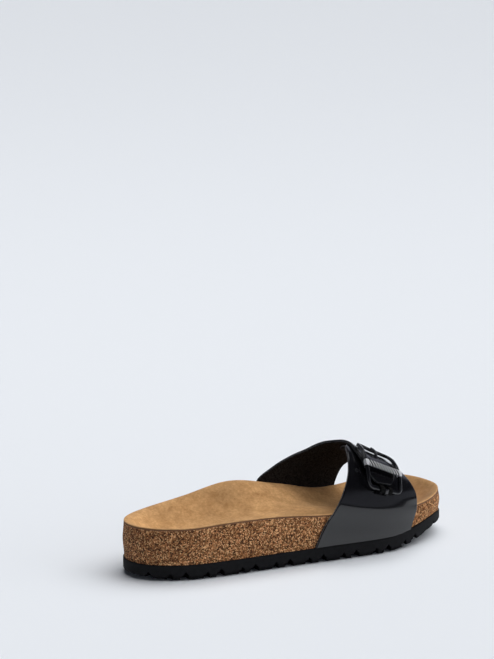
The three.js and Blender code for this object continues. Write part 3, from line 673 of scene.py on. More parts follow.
def make_lining(roll):
    """Suede sheet on the bed, rolled over at its rim: the bed's own rings, a quarter round of
    the roll's radius and a wall as high as the sheet is thick. Its mark grows with the ring."""
    turns = np.linspace(0, np.pi, FOOTBED_STEPS)[:, None]
    shell = Shell()
    for side in (-1.0, 1.0):
        rim = bed_point(turns, side, 1)
        middle = bed_point(turns, side, 0)
        span = np.linalg.norm((rim - middle)[..., :2], axis=-1)
        bend = np.linspace(np.pi / 2, 0, 6)[None, :]
        ring = 1 - (1 - np.linspace(0, 1, 46)) ** 1.3
        inside = np.concatenate([
            ring[None, :-1] * (1 - roll / span),
            1 - roll * (1 - np.cos(bend)) / span,
        ], 1)
        drop = np.concatenate([np.zeros(45), (roll * (1 - np.sin(bend)))[0]])
        top = bed_point(turns, side, inside)
        top[..., 2] -= drop
        lows = np.linspace(roll, LINING, 4)[1:]
        wall = np.repeat(top[:, -1:, :], 3, axis=1)
        wall[..., 2] = rim[..., 2] - lows
        under = bed_point(turns, side, np.linspace(1, 0, 12)[None, :])
        under[..., 2] -= LINING
        grid = np.concatenate([top, wall, under], 1)
        mark = np.concatenate([ring[:-1] * RING_MARK, RING_MARK + (1 - np.sin(bend))[0] * 0.15,
                               [0.6, 0.8, 1.0], np.ones(12)])
        shell.patch(grid, flip=side > 0, mark=mark)
    return shell


# Straps

def strap_dents(x, around):
    """Soft troughs and ridges: a hill of a height round each place."""
    return sum(height * np.exp(-(((x - at * LENGTH) / reach) ** 2) - ((around - turn) / spread) ** 2)
               for at, turn, reach, spread, height in DENTS)


def side_swell(x, around):
    """Belly of the outer strap's side: a hill across its height, lower towards its front."""
    middle = np.interp(x / LENGTH, SWELL_AT, SWELL_AROUND)
    return SWELL * np.exp(-(((around - middle) / SWELL_SPREAD) ** 2))


def make_strap(table, lift, narrow, rows, edge_round):
    """Strap half: faces at its lift and at its thickness more, over x from its rear to its
    front edge, joined by edge walls with rounded corners."""
    low, high = table["at"][0], table["at"][-1]
    around = spaced(low, high, rows, edge_round / SIDE_RUN)[:, None]
    along_round = roundness(rows)[:, None]
    rear = smooth(table, around, "rear")
    front = smooth(table, around, "front")
    half = (front - rear) / 2 * narrow(around)
    middle = (front + rear) / 2
    share = np.linspace(-1, 1, STRAP_COLUMNS + 1)[None, :]
    soft = edge_round * (1 - np.cos(ROUNDING)) / half
    reach = edge_round / half
    across = np.concatenate([-1 + soft, share * (1 - reach), 1 - soft[:, ::-1]], 1)
    across_round = roundness(STRAP_COLUMNS)[None, :]
    x = middle + half * across
    drop = edge_round * (1 - np.minimum(along_round, across_round))
    away = half * (1 - np.abs(across))
    base = lift(around) + side_swell(x, around)
    face = raised(x, around, base + STRAP - drop + strap_dents(x, around) * ease(away / EDGE_EASE))
    back = raised(x, around, base + drop * 0.6)
    run = around * SIDE_RUN + 0 * x
    place = np.stack([run, x], -1)
    shell = Shell()
    shell.patch(face, place=place, mark=np.exp(-away / EDGE_GLOW))
    shell.patch(back, flip=True, part=2, place=place)
    for outer, inner, flip in (
        (face[:, 0], back[:, 0], False),
        (face[:, -1], back[:, -1], True),
        (face[0], back[0], True),
        (face[-1], back[-1], False),
    ):
        steps = np.linspace(0, 1, 4)[None, :, None]
        wall = mix(outer[:, None], inner[:, None], steps)
        flat = np.stack(np.broadcast_arrays(ruler(outer)[:, None], STRAP * steps[..., 0]), -1)
        shell.patch(wall, flip=flip, part=1, place=flat)
    return shell


# Buckle

def turned(path, closed):
    """Unit direction along a path of flat points, from its neighbours."""
    if closed:
        way = np.roll(path, -1, axis=0) - np.roll(path, 1, axis=0)
    else:
        way = np.gradient(path, axis=0)
    return way / np.linalg.norm(way, axis=1, keepdims=True)


def section_ring(width, thick, corners=20, square=3.2):
    """A bar's section: a superellipse, as places across and up."""
    angle = 2 * np.pi * (np.arange(corners) + 0.5) / corners
    run, rise = np.cos(angle), np.sin(angle)
    return (np.sign(run) * np.abs(run) ** (2 / square) * width / 2,
            np.sign(rise) * np.abs(rise) ** (2 / square) * thick / 2)


def wrapped_rings(rings, closed, shell, mark=None):
    """Closes rings of points into a tube, with flat ends on an open one."""
    rings = np.concatenate([rings, rings[:, :1]], 1)
    if mark is not None:
        mark = np.concatenate([mark, mark[:, :1]], 1)
    if closed:
        rings = np.concatenate([rings, rings[:1]])
    else:
        ends = [rings[0].mean(0), rings[-1].mean(0)]
        rings = np.concatenate([np.broadcast_to(ends[0], rings[:1].shape), rings,
                                np.broadcast_to(ends[1], rings[:1].shape)])
        if mark is not None:
            mark = np.concatenate([mark[:1], mark, mark[-1:]])
    place = np.stack(np.meshgrid(np.arange(rings.shape[0]), np.arange(rings.shape[1]),
                                 indexing="ij"), -1)
    shell.patch(rings, place=place, mark=mark)


def frame_path():
    """Frame centre line: a rounded rectangle, quarter arcs joined by straight sides."""
    half_w = (BUCKLE_WIDTH - FRAME_WIDTH) / 2
    half_h = (BUCKLE_HEIGHT - FRAME_WIDTH) / 2
    corner = BUCKLE_CORNER - FRAME_WIDTH / 2
    arc = np.linspace(0, np.pi / 2, 11)
    parts = []
    for quarter, (sx, sy) in enumerate(((1, 1), (-1, 1), (-1, -1), (1, -1))):
        angle = arc + quarter * np.pi / 2
        parts.append(np.stack([sx * (half_w - corner) + corner * np.cos(angle),
                               BUCKLE_HEIGHT / 2 + sy * (half_h - corner) + corner * np.sin(angle)], 1))
    whole = []
    for quarter in range(4):
        after = parts[(quarter + 1) % 4][0]
        share = np.linspace(0, 1, 23)[1:-1, None]
        whole += [parts[quarter], mix(parts[quarter][-1], after, share)]
    return np.concatenate(whole)


def make_frame():
    """Frame: a rounded bar carried along the rounded rectangle of the buckle's pattern."""
    path = frame_path()
    way = turned(path, True)
    out, high = section_ring(FRAME_WIDTH, FRAME_THICK)
    across = path[:, :1] + way[:, 1:] * out
    up = path[:, 1:] - way[:, :1] * out
    rings = pattern_point(across, up, frame_base(path[:, 1:]) + FRAME_THICK / 2 + high)
    shell = Shell()
    wrapped_rings(rings, True, shell)
    return shell


def make_keeper(rib_pitch, rib_depth):
    """Keeper bar over the frame's sides, with slanting ribs: a rounded wave of its length and
    width on the upper face, and a cuff round each side bar. Its mark darkens the ribs' troughs
    and, as painted shade, the lower half of the bar."""
    shell = Shell()
    half = BUCKLE_WIDTH / 2
    share = np.concatenate([[-1.0, -0.985], np.linspace(-0.96, 0.96, 230), [0.985, 1.0]])[:, None]
    thin = np.sqrt(np.clip(1 - ((np.abs(share) - 0.9) / 0.1).clip(0) ** 3 * 0.5, 0, 1))
    out, high = section_ring(KEEPER_WIDTH, KEEPER_THICK, corners=36, square=3.0)
    upper = np.clip(high / (KEEPER_THICK / 2), 0, 1) ** 2
    along = ease((half - RIB_MARGIN - np.abs(share * half)) / 0.6)
    within = along * ease((KEEPER_WIDTH / 2 - 0.1 - np.abs(out)) / 0.4)
    wave = np.cos(2 * np.pi * (share * half + RIB_LEAN * out) / rib_pitch)
    rib = ease(0.25 + 1.2 * wave)
    sunk = rib_depth * (1 - rib) * within * upper
    seat = BUCKLE_HEIGHT * KEEPER_PLACE
    height = frame_base(seat) + FRAME_THICK - KEEPER_SINK + KEEPER_THICK / 2
    rings = pattern_point(share * half, seat + out * thin, height + high * thin - sunk)
    # Painted shade: the lower half of the bar's section is marked dark
    lower = 1 - ease((high / (KEEPER_THICK / 2) + 0.1) / 0.7)
    wrapped_rings(rings, False, shell, mark=np.maximum((1 - rib) * along, 0.8 * lower))
    run = np.linspace(-1, 1, 9)[:, None]
    out, high = section_ring(FRAME_WIDTH + CUFF, FRAME_THICK + CUFF, corners=28, square=2.6)
    soft = np.sqrt(1 - np.abs(run) ** 4 * 0.25)
    for sign in (-1, 1):
        across = sign * (BUCKLE_WIDTH - FRAME_WIDTH) / 2 + out * soft
        up = seat + run * (KEEPER_WIDTH / 2 - 0.2)
        cuff = pattern_point(across, up, frame_base(seat) + FRAME_THICK / 2 + high * soft)
        wrapped_rings(cuff, False, shell)
    return shell


def strip_rings(up, height, low, high, thick, closed):
    """A flat strip with soft corners carried along a path of places up and heights."""
    path = np.stack([up, height], 1)
    way = turned(path, closed)
    wide, deep = section_ring(high - low, thick, corners=24, square=4.0)
    across = (low + high) / 2 + wide
    along, lift = up[:, None] - way[:, 1:] * deep, height[:, None] + way[:, :1] * deep
    return pattern_point(across[None, :], along, lift)


def resampled(up, height, steps):
    """A path of places up and heights as a cubic through its points, evenly divided."""
    table = {"at": ruler(np.stack([up, height], 1)), "up": up, "height": height}
    even = np.linspace(0, table["at"][-1], steps)
    return smooth(table, even, "up"), smooth(table, even, "height")


def loop_line(thick, start, end, steps):
    """An arc round the frame's lower bar at the strip's own clearance."""
    angle = mix(start, end, np.arange(steps) / steps)
    half_up = FRAME_WIDTH / 2 + GAP + thick / 2
    half_high = FRAME_THICK / 2 + GAP + thick / 2
    middle = frame_base(FRAME_WIDTH / 2) + FRAME_THICK / 2
    return FRAME_WIDTH / 2 + half_up * np.cos(angle), middle + half_high * np.sin(angle)


def prong_line():
    """Prong: round the lower bar, under the tongue, up through its slot, into a rest in the
    top bar."""
    hook_up, hook_high = loop_line(PRONG_THICK, np.pi * 0.5, np.pi * 1.6, 8)
    under = STRAP + GAP + PRONG_THICK / 2
    over = frame_base(BUCKLE_HEIGHT - FRAME_WIDTH) + FRAME_THICK - PRONG_REST + PRONG_THICK / 2
    up = np.array([0.12, 0.28, 0.44, 0.58, 0.66, 0.76, 0.84, 0.99]) * BUCKLE_HEIGHT
    rise = np.array([0, 0, 0, 0, 0.2, 0.8, 1, 1])
    height = mix(under, over, rise)
    return resampled(np.concatenate([hook_up, up]), np.concatenate([hook_high, height]), 80)


def make_prong(grow):
    """Prong strip, grown by a clearance to cut the tongue's slot."""
    up, height = prong_line()
    shell = Shell()
    half = PRONG_WIDTH / 2 + grow
    wrapped_rings(strip_rings(up, height, -half, half, PRONG_THICK + 2 * grow, False), False, shell)
    return shell


def make_tab():
    """Tab: a strap loop round the lower bar each side of the prong, and its root."""
    shell = Shell()
    slot = PRONG_WIDTH / 2 + GAP
    half = TAB_WIDTH / 2
    up, height = loop_line(TAB_THICK, 0, 2 * np.pi, 40)
    for low, high in ((-half, -slot), (slot, half)):
        wrapped_rings(strip_rings(up, height, low, high, TAB_THICK, True), True, shell)
        rise = np.linspace(GAP, frame_base(0), 6)
        root = strip_rings(np.full(6, FRAME_WIDTH / 2), rise, low, high, TAB_ROOT, False)
        wrapped_rings(root, False, shell)
    return shell


# Materials

def feed(tree, target, value):
    """Links a socket to an input, or sets the input's plain value."""
    if isinstance(value, bpy.types.NodeSocket):
        tree.links.new(value, target)
    else:
        target.default_value = value


def node(tree, kind, inputs=None, **settings):
    """A node with its settings, then its inputs by name or number."""
    made = tree.nodes.new(kind)
    for key, value in settings.items():
        setattr(made, key, value)
    for key, value in (inputs or {}).items():
        feed(tree, made.inputs[key], value)
    return made


def math_node(tree, operation, *values):
    """Result of a Math node on its values."""
    return node(tree, "ShaderNodeMath", dict(enumerate(values)), operation=operation).outputs[0]


def vector_node(tree, operation, *values):
    """Outputs of a Vector Math node on its values."""
    return node(tree, "ShaderNodeVectorMath", dict(enumerate(values)), operation=operation).outputs


def noise(tree, vector, scale, detail=2.0, roughness=0.5):
    """Outputs of a noise over a vector."""
    inputs = {"Vector": vector, "Scale": scale, "Detail": detail, "Roughness": roughness}
    return node(tree, "ShaderNodeTexNoise", inputs).outputs


def cells(tree, vector, scale):
    """Random cells: the three tones of each, and the distance from its middle."""
    made = node(tree, "ShaderNodeTexVoronoi", {"Vector": vector, "Scale": scale}).outputs
    return node(tree, "ShaderNodeSeparateColor", {"Color": made["Color"]}).outputs, made["Distance"]


def blended(tree, factor, low, high, kind="MIX"):
    """A mix of two colours, or of their sockets, by a factor."""
    low, high = (value if isinstance(value, bpy.types.NodeSocket) else (*value, 1) for value in (low, high))
    inputs = {"Factor": factor, "A": low, "B": high}
    return node(tree, "ShaderNodeMix", inputs, data_type="RGBA", blend_type=kind).outputs["Result"]


def soft_range(tree, value, low, high, top):
    """Smooth step of a value, from 0 at low to top at high."""
    inputs = {"Value": value, "From Min": low, "From Max": high, "To Max": top}
    return node(tree, "ShaderNodeMapRange", inputs, interpolation_type="SMOOTHSTEP").outputs["Result"]


def ramp(tree, value, stops):
    """A colour ramp of places and colours, or greys, over a value."""
    made = node(tree, "ShaderNodeValToRGB", {"Fac": value})
    elements = made.color_ramp.elements
    elements[0].position, elements[1].position = stops[0][0], stops[-1][0]
    for place, _ in stops[1:-1]:
        elements.new(place)
    for element, (_, colour) in zip(elements, stops):
        element.color = (colour, colour, colour, 1) if isinstance(colour, float) else (*colour, 1)
    return made.outputs["Color"]


def times(colour, factor):
    """A colour made darker or lighter."""
    return tuple(min(1.0, c * factor) for c in colour)


def new_group(name, inputs, output, kind):
    """A shader node group: inputs by name with a default each, or None for a vector, and one
    output. Returns its tree, the inputs' sockets and the output's."""
    tree = bpy.data.node_groups.new(name, "ShaderNodeTree")
    for key, default in inputs.items():
        given = {type(None): "Vector", float: "Float", tuple: "Color"}[type(default)]
        made = tree.interface.new_socket(key, in_out="INPUT", socket_type="NodeSocket" + given)
        if default is not None:
            made.default_value = default
    tree.interface.new_socket(output, in_out="OUTPUT", socket_type="NodeSocket" + kind)
    return tree, node(tree, "NodeGroupInput").outputs, node(tree, "NodeGroupOutput").inputs[output]


def grain_group():
    """Fine grain: a noise and a coarser one, blended by a share into a height from 0 to 1."""
    tree, given, height = new_group(
        "Fine grain", {"Vector": None, "Scale": 2000.0, "Coarse share": 0.3}, "Height", "Float")
    fine = noise(tree, given["Vector"], given["Scale"], 3.0)["Fac"]
    wider = math_node(tree, "DIVIDE", given["Scale"], COARSER)
    coarse = noise(tree, given["Vector"], wider)["Fac"]
    blend = node(tree, "ShaderNodeMix", {"Factor": given["Coarse share"], "A": fine, "B": coarse})
    feed(tree, height, blend.outputs["Result"])
    return tree


def mottle_group():
    """Mottling: a noise, spread about its middle by a contrast, blends dark into light."""
    tree, given, colour = new_group(
        "Mottle", {"Vector": None, "Scale": 60.0, "Contrast": 2.0, "Dark": (0.4, 0.3, 0.2, 1.0),
                   "Light": (0.6, 0.5, 0.3, 1.0)}, "Color", "Color")
    spots = noise(tree, given["Vector"], given["Scale"], 5.0, 0.62)["Fac"]
    centred = math_node(tree, "SUBTRACT", spots, 0.5)
    spread = math_node(tree, "MULTIPLY_ADD", centred, given["Contrast"], 0.5)
    held = node(tree, "ShaderNodeClamp", {"Value": spread}).outputs[0]
    feed(tree, colour, blended(tree, held, given["Dark"], given["Light"]))
    return tree


def shared(name, make):
    """A node group, built once."""
    return bpy.data.node_groups.get(name) or make()


def grain(tree, vector, scale, coarse_share):
    """Height of the fine grain, placed in a material."""
    inputs = {"Vector": vector, "Scale": scale, "Coarse share": coarse_share}
    return node(tree, "ShaderNodeGroup", inputs, node_tree=shared("Fine grain", grain_group)).outputs[0]


def mottle(tree, vector, scale, contrast, dark, light):
    """Colour of the mottling, placed in a material between its own dark and light."""
    inputs = {"Vector": vector, "Scale": scale, "Contrast": contrast}
    inputs |= {"Dark": (*dark, 1), "Light": (*light, 1)}
    return node(tree, "ShaderNodeGroup", inputs, node_tree=shared("Mottle", mottle_group)).outputs[0]


def new_material(name, colour, roughness, **more):
    """A material with a Principled shader, its tree and its Object coordinates."""
    material = bpy.data.materials.new(name)
    material.use_nodes = True
    material.diffuse_color = (*colour, 1)
    tree = material.node_tree
    shader = tree.nodes["Principled BSDF"].inputs
    shader["Base Color"].default_value = (*colour, 1)
    shader["Roughness"].default_value = roughness
    for key, value in more.items():
        shader[key.replace("_", " ")].default_value = value
    return material, tree, shader, node(tree, "ShaderNodeTexCoord").outputs["Object"]


def mark_of(tree):
    """The mark that a shell carries on its points."""
    return node(tree, "ShaderNodeAttribute", attribute_name="mark").outputs["Fac"]


def bump(tree, shader, height, strength, distance, before=None):
    """A bump on the shader's normal from a height, over an earlier bump."""
    made = node(tree, "ShaderNodeBump", {"Height": height, "Strength": strength, "Distance": distance})
    if before is not None:
        feed(tree, made.inputs["Normal"], before)
    feed(tree, shader["Normal"], made.outputs["Normal"])
    return made.outputs["Normal"]


def cork_material(looks):
    """Pressed cork: crumbs as cells of their own tone, pale flecks and dark chips between them."""
    base, pale = looks.cork_colour, looks.fleck_colour
    material, tree, shader, vector = new_material("Pressed cork", base, 0.85, Specular_IOR_Level=0.25)
    crumb = 1 / looks.cork_crumb
    stir = noise(tree, vector, crumb * CRUMB_STIR)["Color"]
    push = vector_node(tree, "MULTIPLY_ADD", stir, (looks.cork_crumb * CRUMB_STIR,) * 3, vector)[0]
    tones, distance = cells(tree, push, crumb)
    crumbs = ramp(tree, tones[0], (
        (0.0, times(base, 0.12)), (0.2, times(base, 0.3)), (0.42, times(base, 0.7)), (0.62, base),
        (0.86, times(base, 1.5)), (1.0, pale)))
    chips, _ = cells(tree, push, crumb * CHIP_SCALE)
    fleck = ramp(tree, chips[1], ((0.84, 0.0), (0.9, 1.0)))
    chip = ramp(tree, chips[2], ((0.0, 0.9), (0.14, 0.8), (0.2, 0.0)))
    body = blended(tree, fleck, crumbs, pale)
    body = blended(tree, chip, body, times(base, 0.16))
    stain = mottle(tree, vector, 55.0, 3.0, (0.78, 0.72, 0.66), (1.1, 1.1, 1.1))
    feed(tree, shader["Base Color"], blended(tree, 1.0, body, stain, "MULTIPLY"))
    bump(tree, shader, math_node(tree, "MULTIPLY_ADD", distance, -0.7, tones[0]), 0.6, 0.0004)
    return material


def smudge_and_shade_spot(tree, vector, stir, centre, reach, strength):
    """Dark spot, used for smudges and for painted shade: its strength in the middle, falling to 0 at
    its reach along each axis, and broken by a noise that is added to the distance."""
    away = vector_node(tree, "SUBTRACT", vector, centre)[0]
    scaled = vector_node(tree, "DIVIDE", away, reach)[0]
    long = vector_node(tree, "LENGTH", scaled)["Value"]
    return soft_range(tree, math_node(tree, "ADD", long, stir), 1.0, 0.1, strength)


def suede_material(looks):
    """Napped suede: mottling, dark spots of smudges and of painted shade, painted shade from under the strap
    to the toe, fine nap and a dark cut edge.
    """
    # One dark colour serves the smudges and the painted shade
    base, smudged_and_shaded = looks.suede_colour, looks.smudged_and_shaded_colour
    material, tree, shader, vector = new_material(
        "Suede lining", base, 0.95, Specular_IOR_Level=0.1, Sheen_Weight=0.12, Sheen_Roughness=0.45)
    body = mottle(tree, vector, 24.0, 2.6, times(base, 0.76), times(base, 1.12))
    for scale, contrast, dark, light in (
        (130.0, 2.6, (0.8, 0.75, 0.68), (1.09, 1.09, 1.1)),
        (520.0, 2.4, (0.85, 0.83, 0.8), (1.09, 1.09, 1.1)),
    ):
        body = blended(tree, 1.0, body, mottle(tree, vector, scale, contrast, dark, light), "MULTIPLY")
    stir = noise(tree, vector, 260.0, 4.0)["Fac"]
    # Dark spots: smudges, and painted shade along the inner rim and across the heel's back
    for spot in SMUDGE_AND_SHADE_SPOTS:
        body = blended(tree, smudge_and_shade_spot(tree, vector, stir, *spot), body, smudged_and_shaded)
    mark = mark_of(tree)
    # Painted shade over the bed from under the strap to the toe, kept off the rim band
    inside = ramp(tree, mark, ((0.8 * RING_MARK, 1.0), (0.94 * RING_MARK, 0.0)))
    along = node(tree, "ShaderNodeSeparateXYZ", {0: vector}).outputs[0]
    toe = blended(tree, inside, (0, 0, 0), soft_range(tree, along, *TOE_SHADE))
    body = blended(tree, toe, body, smudged_and_shaded)
    edge = ramp(tree, mark, ((0.0, 0.0), (0.3, 0.05), (0.48, 1.0), (0.82, 0.95), (1.0, 0.55)))
    feed(tree, shader["Base Color"], blended(tree, edge, body, looks.rim_colour))
    bump(tree, shader, grain(tree, vector, 2600.0, 0.45), 0.4, 0.0004)
    return material


def patent_material(looks):
    """Patent leather: a near-black film under a clear coat, with a slow ripple."""
    material, tree, shader, vector = new_material(
        "Patent leather", looks.patent_colour, 0.16, Coat_Weight=0.5, Coat_Roughness=0.03,
        Specular_IOR_Level=0.45)
    ripple = bump(tree, shader, noise(tree, vector, 34.0, 1.0)["Fac"], 0.12, 0.004)
    bump(tree, shader, grain(tree, vector, 900.0, 0.5), 0.05, 0.0003, ripple)
    return material


def felt_material(name, colour, strength):
    """Fibrous backing: mottled colour and coarse fuzz."""
    material, tree, shader, vector = new_material(name, colour, 0.95, Specular_IOR_Level=0.15)
    fibres = mottle(tree, vector, 900.0, 4.5, times(colour, 0.35), times(colour, 1.9))
    feed(tree, shader["Base Color"], fibres)
    bump(tree, shader, grain(tree, vector, 1500.0, 0.5), strength, 0.0006)
    return material


def rubber_material(looks):
    """Foamed rubber: matt, faintly mottled, with a fine open grain."""
    base = looks.rubber_colour
    material, tree, shader, vector = new_material("Foamed rubber", base, 0.8, Specular_IOR_Level=0.25)
    feed(tree, shader["Base Color"], mottle(tree, vector, 300.0, 2.5, times(base, 0.75), times(base, 1.3)))
    bump(tree, shader, grain(tree, vector, 1400.0, 0.35), 0.3, 0.0004)
    return material


def enamel_material():
    """Black enamel on the buckle's frame and prong, with a soft orange-peel."""
    material, tree, shader, vector = new_material(
        "Black enamel", (0.004, 0.004, 0.005), 0.2, Coat_Weight=0.6, Coat_Roughness=0.05)
    bump(tree, shader, grain(tree, vector, 700.0, 0.6), 0.08, 0.0003)
    return material


def keeper_material(looks):
    """Bright metal: brushed, dark in the ribs' troughs, and dark on the bar's lower half as painted shade."""
    base = looks.metal_colour
    material, tree, shader, vector = new_material("Bright keeper metal", base, 0.35, Metallic=0.55)
    shade = ramp(tree, mark_of(tree), ((0.0, base), (0.35, times(base, 0.3)), (1.0, times(base, 0.03))))
    feed(tree, shader["Base Color"], shade)
    bump(tree, shader, grain(tree, vector, 1800.0, 0.3), 0.15, 0.0003)
    return material


# Settings

def length(name, description, value, low, high):
    """A length in metres that a user may change."""
    return bpy.props.FloatProperty(
        name=name, description=description, default=value, min=low, max=high, precision=5, unit="LENGTH")


def colour(name, description, value):
    """A colour that a user may change."""
    return bpy.props.FloatVectorProperty(
        name=name, description=description, subtype="COLOR", size=3, default=value, min=0, max=1)


def angle(name, description, degrees):
    """An angle that a user may change."""
    return bpy.props.FloatProperty(
        name=name, description=description, subtype="ANGLE", default=math.radians(degrees))


def strength(name, description, value):
    """A light's strength that a user may change."""
    return bpy.props.FloatProperty(name=name, description=description, default=value, min=0)


class SandalSizes(bpy.types.PropertyGroup):
    """Small sizes that only the looks have."""

    lining_roll: length("Lining roll", "Radius of the lining's rolled rim", 0.0006, 0.0001, 0.0012)
    strap_edge: length("Strap edge", "Rounding of the strap's cut edges", 0.00045, 0.0001, 0.001)
    rib_pitch: length("Rib pitch", "Distance between the keeper's slanting ribs", 0.0026, 0.0008, 0.004)
    rib_depth: length("Rib depth", "Depth of the keeper's ribs", 0.0004, 0.0, 0.0006)


class SandalLooks(bpy.types.PropertyGroup):
    """Colours and textures of the finishes."""

    cork_colour: colour("Cork", "Mean colour of the pressed cork", (0.35, 0.152, 0.062))
    cork_crumb: length("Cork crumb", "Size of a crumb of cork", 0.00095, 0.0005, 0.005)
    fleck_colour: colour("Cork fleck", "Colour of the pale flecks in the cork", (0.86, 0.52, 0.25))
    suede_colour: colour("Suede", "Mean colour of the lining", (0.6, 0.35, 0.155))
    # This colour serves the lining's smudges and its painted shade alike
    smudged_and_shaded_colour: colour("Smudged and shaded suede", "Colour of the lining's smudges and painted shade", (0.27, 0.125, 0.045))
    rim_colour: colour("Lining edge", "Colour of the lining's cut edge", (0.14, 0.07, 0.045))
    patent_colour: colour("Patent leather", "Colour under the strap's clear film", (0.004, 0.004, 0.005))
    felt_colour: colour("Strap backing", "Colour of the felt behind the strap", (0.012, 0.011, 0.011))
    cut_colour: colour("Strap cut edge", "Colour of the strap's cut edges", (0.1, 0.103, 0.112))
    rubber_colour: colour("Rubber", "Colour of the outsole", (0.0065, 0.0065, 0.0075))
    metal_colour: colour("Keeper metal", "Colour of the keeper bar", (0.85, 0.86, 0.88))


class SandalStage(bpy.types.PropertyGroup):
    """Camera, floor and lights."""

    azimuth: angle("Azimuth", "Camera's angle round the sandal", -30.7)
    elevation: angle("Elevation", "Camera's angle above the floor", 15.5)
    distance: length("Distance", "Camera's distance from the sandal", 3.0, 0.5, 20.0)
    floor_colour: colour("Floor", "Colour of the plain floor", (0.79, 0.82, 0.86))
    overhead_strength: strength("Overhead light", "Strength of the large soft light above", 2.7)
    front_strength: strength("Front light", "Strength of the soft light beside the camera", 0.15)
    side_strength: strength("Side light", "Strength of the soft light past the toe", 0.75)


# Operators

class SANDAL_OT_outsole(bpy.types.Operator):
    """Makes the notched rubber outsole"""

    bl_idname = "sandal.outsole"
    bl_label = "Outsole"

    def execute(self, context):
        material = rubber_material(context.scene.sandal_looks)
        piece = make_outsole().build("sole_rubber", [material], sharp=30)
        settle(piece, "outsole_rubber", "outsole")
        return {"FINISHED"}


class SANDAL_OT_footbed(bpy.types.Operator):
    """Makes the cork footbed and its suede lining"""

    bl_idname = "sandal.footbed"
    bl_label = "Footbed and lining"

    def execute(self, context):
        looks, sizes = context.scene.sandal_looks, context.scene.sandal_sizes
        cork = make_footbed().build("cork_body", [cork_material(looks)])
        settle(cork, "cork", "footbed_cork")
        lining = make_lining(sizes.lining_roll / MM).build("suede_sheet", [suede_material(looks)], sharp=60)
        settle(lining, "suede", "insole_lining")
        return {"FINISHED"}


class SANDAL_OT_straps(bpy.types.Operator):
    """Makes both halves of the patent strap, and cuts the prong's slot in the tongue"""

    bl_idname = "sandal.straps"
    bl_label = "Straps"

    def execute(self, context):
        looks = context.scene.sandal_looks
        edge = context.scene.sandal_sizes.strap_edge / MM
        patent = patent_material(looks)
        backing = felt_material("Strap felt backing", looks.felt_colour, 0.5)
        pale_edge = felt_material("Outer strap cut edge", looks.cut_colour, 0.8)
        # Painted shade: the inner strap's cut edges get a darker copy of the cut edge's colour
        shaded_edge = felt_material("Inner strap cut edge in painted shade", times(looks.cut_colour, 0.3), 0.8)
        outer = make_strap(OUTER_STRAP, lambda around: 0, lambda around: 1, 230, edge)
        outer = outer.build("strap_outer_patent", [patent, pale_edge, backing])
        inner = make_strap(INNER_STRAP, tongue_lift, tongue_width, 300, edge)
        inner = inner.build("strap_inner_patent", [patent, shaded_edge, backing])
        cutter = make_prong(PRONG_SLOT).build("slot_cutter", [shaded_edge])
        slot = inner.modifiers.new("Prong slot", "BOOLEAN")
        slot.operation = "DIFFERENCE"
        slot.solver = "EXACT"
        slot.object = cutter
        cut = bpy.data.meshes.new_from_object(inner.evaluated_get(context.evaluated_depsgraph_get()))
        if len(cut.polygons) < 1000:
            raise RuntimeError("the tongue's slot left no strap")
        inner.modifiers.clear()
        inner.data = cut
        bpy.data.objects.remove(cutter)
        settle(outer, "patent", "strap_outer")
        settle(inner, "patent", "strap_inner")
        return {"FINISHED"}


class SANDAL_OT_buckle(bpy.types.Operator):
    """Makes the buckle's frame, ribbed keeper, prong and tab"""

    bl_idname = "sandal.buckle"
    bl_label = "Buckle"

    def execute(self, context):
        looks, sizes = context.scene.sandal_looks, context.scene.sandal_sizes
        enamel = enamel_material()
        settle(make_frame().build("frame_bar", [enamel]), "buckle_black", "buckle_frame")
        keeper = make_keeper(sizes.rib_pitch / MM, sizes.rib_depth / MM)
        settle(keeper.build("keeper_bar", [keeper_material(looks)]), "keeper_metal", "buckle_keeper")
        settle(make_prong(0.0).build("prong_bar", [enamel]), "buckle_black", "buckle_prong")
        tab = make_tab().build("tab_loop", [felt_material("Tab leather", (0.004, 0.004, 0.004), 0.2)])
        settle(tab, "patent", "buckle_tab")
        return {"FINISHED"}


class SANDAL_OT_stage(bpy.types.Operator):
    """Makes the pale floor, the soft studio light and the camera"""

    bl_idname = "sandal.stage"
    bl_label = "Studio"

    def execute(self, context):
        stage = context.scene.sandal_stage
        make_camera(stage)
        make_floor(stage)
        make_lights(stage)
        context.scene.view_settings.view_transform = "Standard"
        return {"FINISHED"}


def placed(name, data):
    """A new object in the scene."""
    made = bpy.data.objects.new(name, data)
    bpy.context.scene.collection.objects.link(made)
    return made


def make_camera(stage):
    """Camera at the photograph's angle and scale, its picture shifted off its axis."""
    a, e, roll = stage.azimuth, stage.elevation, math.radians(CAMERA_ROLL)
    back = Vector((math.sin(a) * math.cos(e), -math.cos(a) * math.cos(e), math.sin(e)))
    right = Vector((math.cos(a), math.sin(a), 0))
    up = back.cross(right)
    side = right * math.cos(roll) + up * math.sin(roll)
    top = up * math.cos(roll) - right * math.sin(roll)
    data = bpy.data.cameras.new("camera")
    data.sensor_width = SENSOR
    data.lens = SENSOR * PIXELS_PER_MM * stage.distance / MM / PHOTO_HEIGHT
    data.shift_x, data.shift_y = (pixels / PHOTO_HEIGHT for pixels in PICTURE_SHIFT)
    data.clip_end = 100
    camera = placed("camera", data)
    place = Vector(CAMERA_AIM) + back * stage.distance
    camera.matrix_world = Matrix.Translation(place) @ Matrix((side, top, back)).transposed().to_4x4()
    bpy.context.scene.camera = camera


def make_floor(stage):
    """A flat floor of one face under the sole."""
    square = ((-1, -1), (1, -1), (1, 1), (-1, 1))
    corners = [(x * FLOOR_REACH, y * FLOOR_REACH, FLOOR_LEVEL) for x, y in square]
    mesh = bpy.data.meshes.new("floor")
    mesh.from_pydata(corners, [], [(0, 1, 2, 3)])
    material, *_ = new_material("Studio floor", stage.floor_colour, 0.7, Specular_IOR_Level=0.1)
    mesh.materials.append(material)
    placed("floor", mesh)


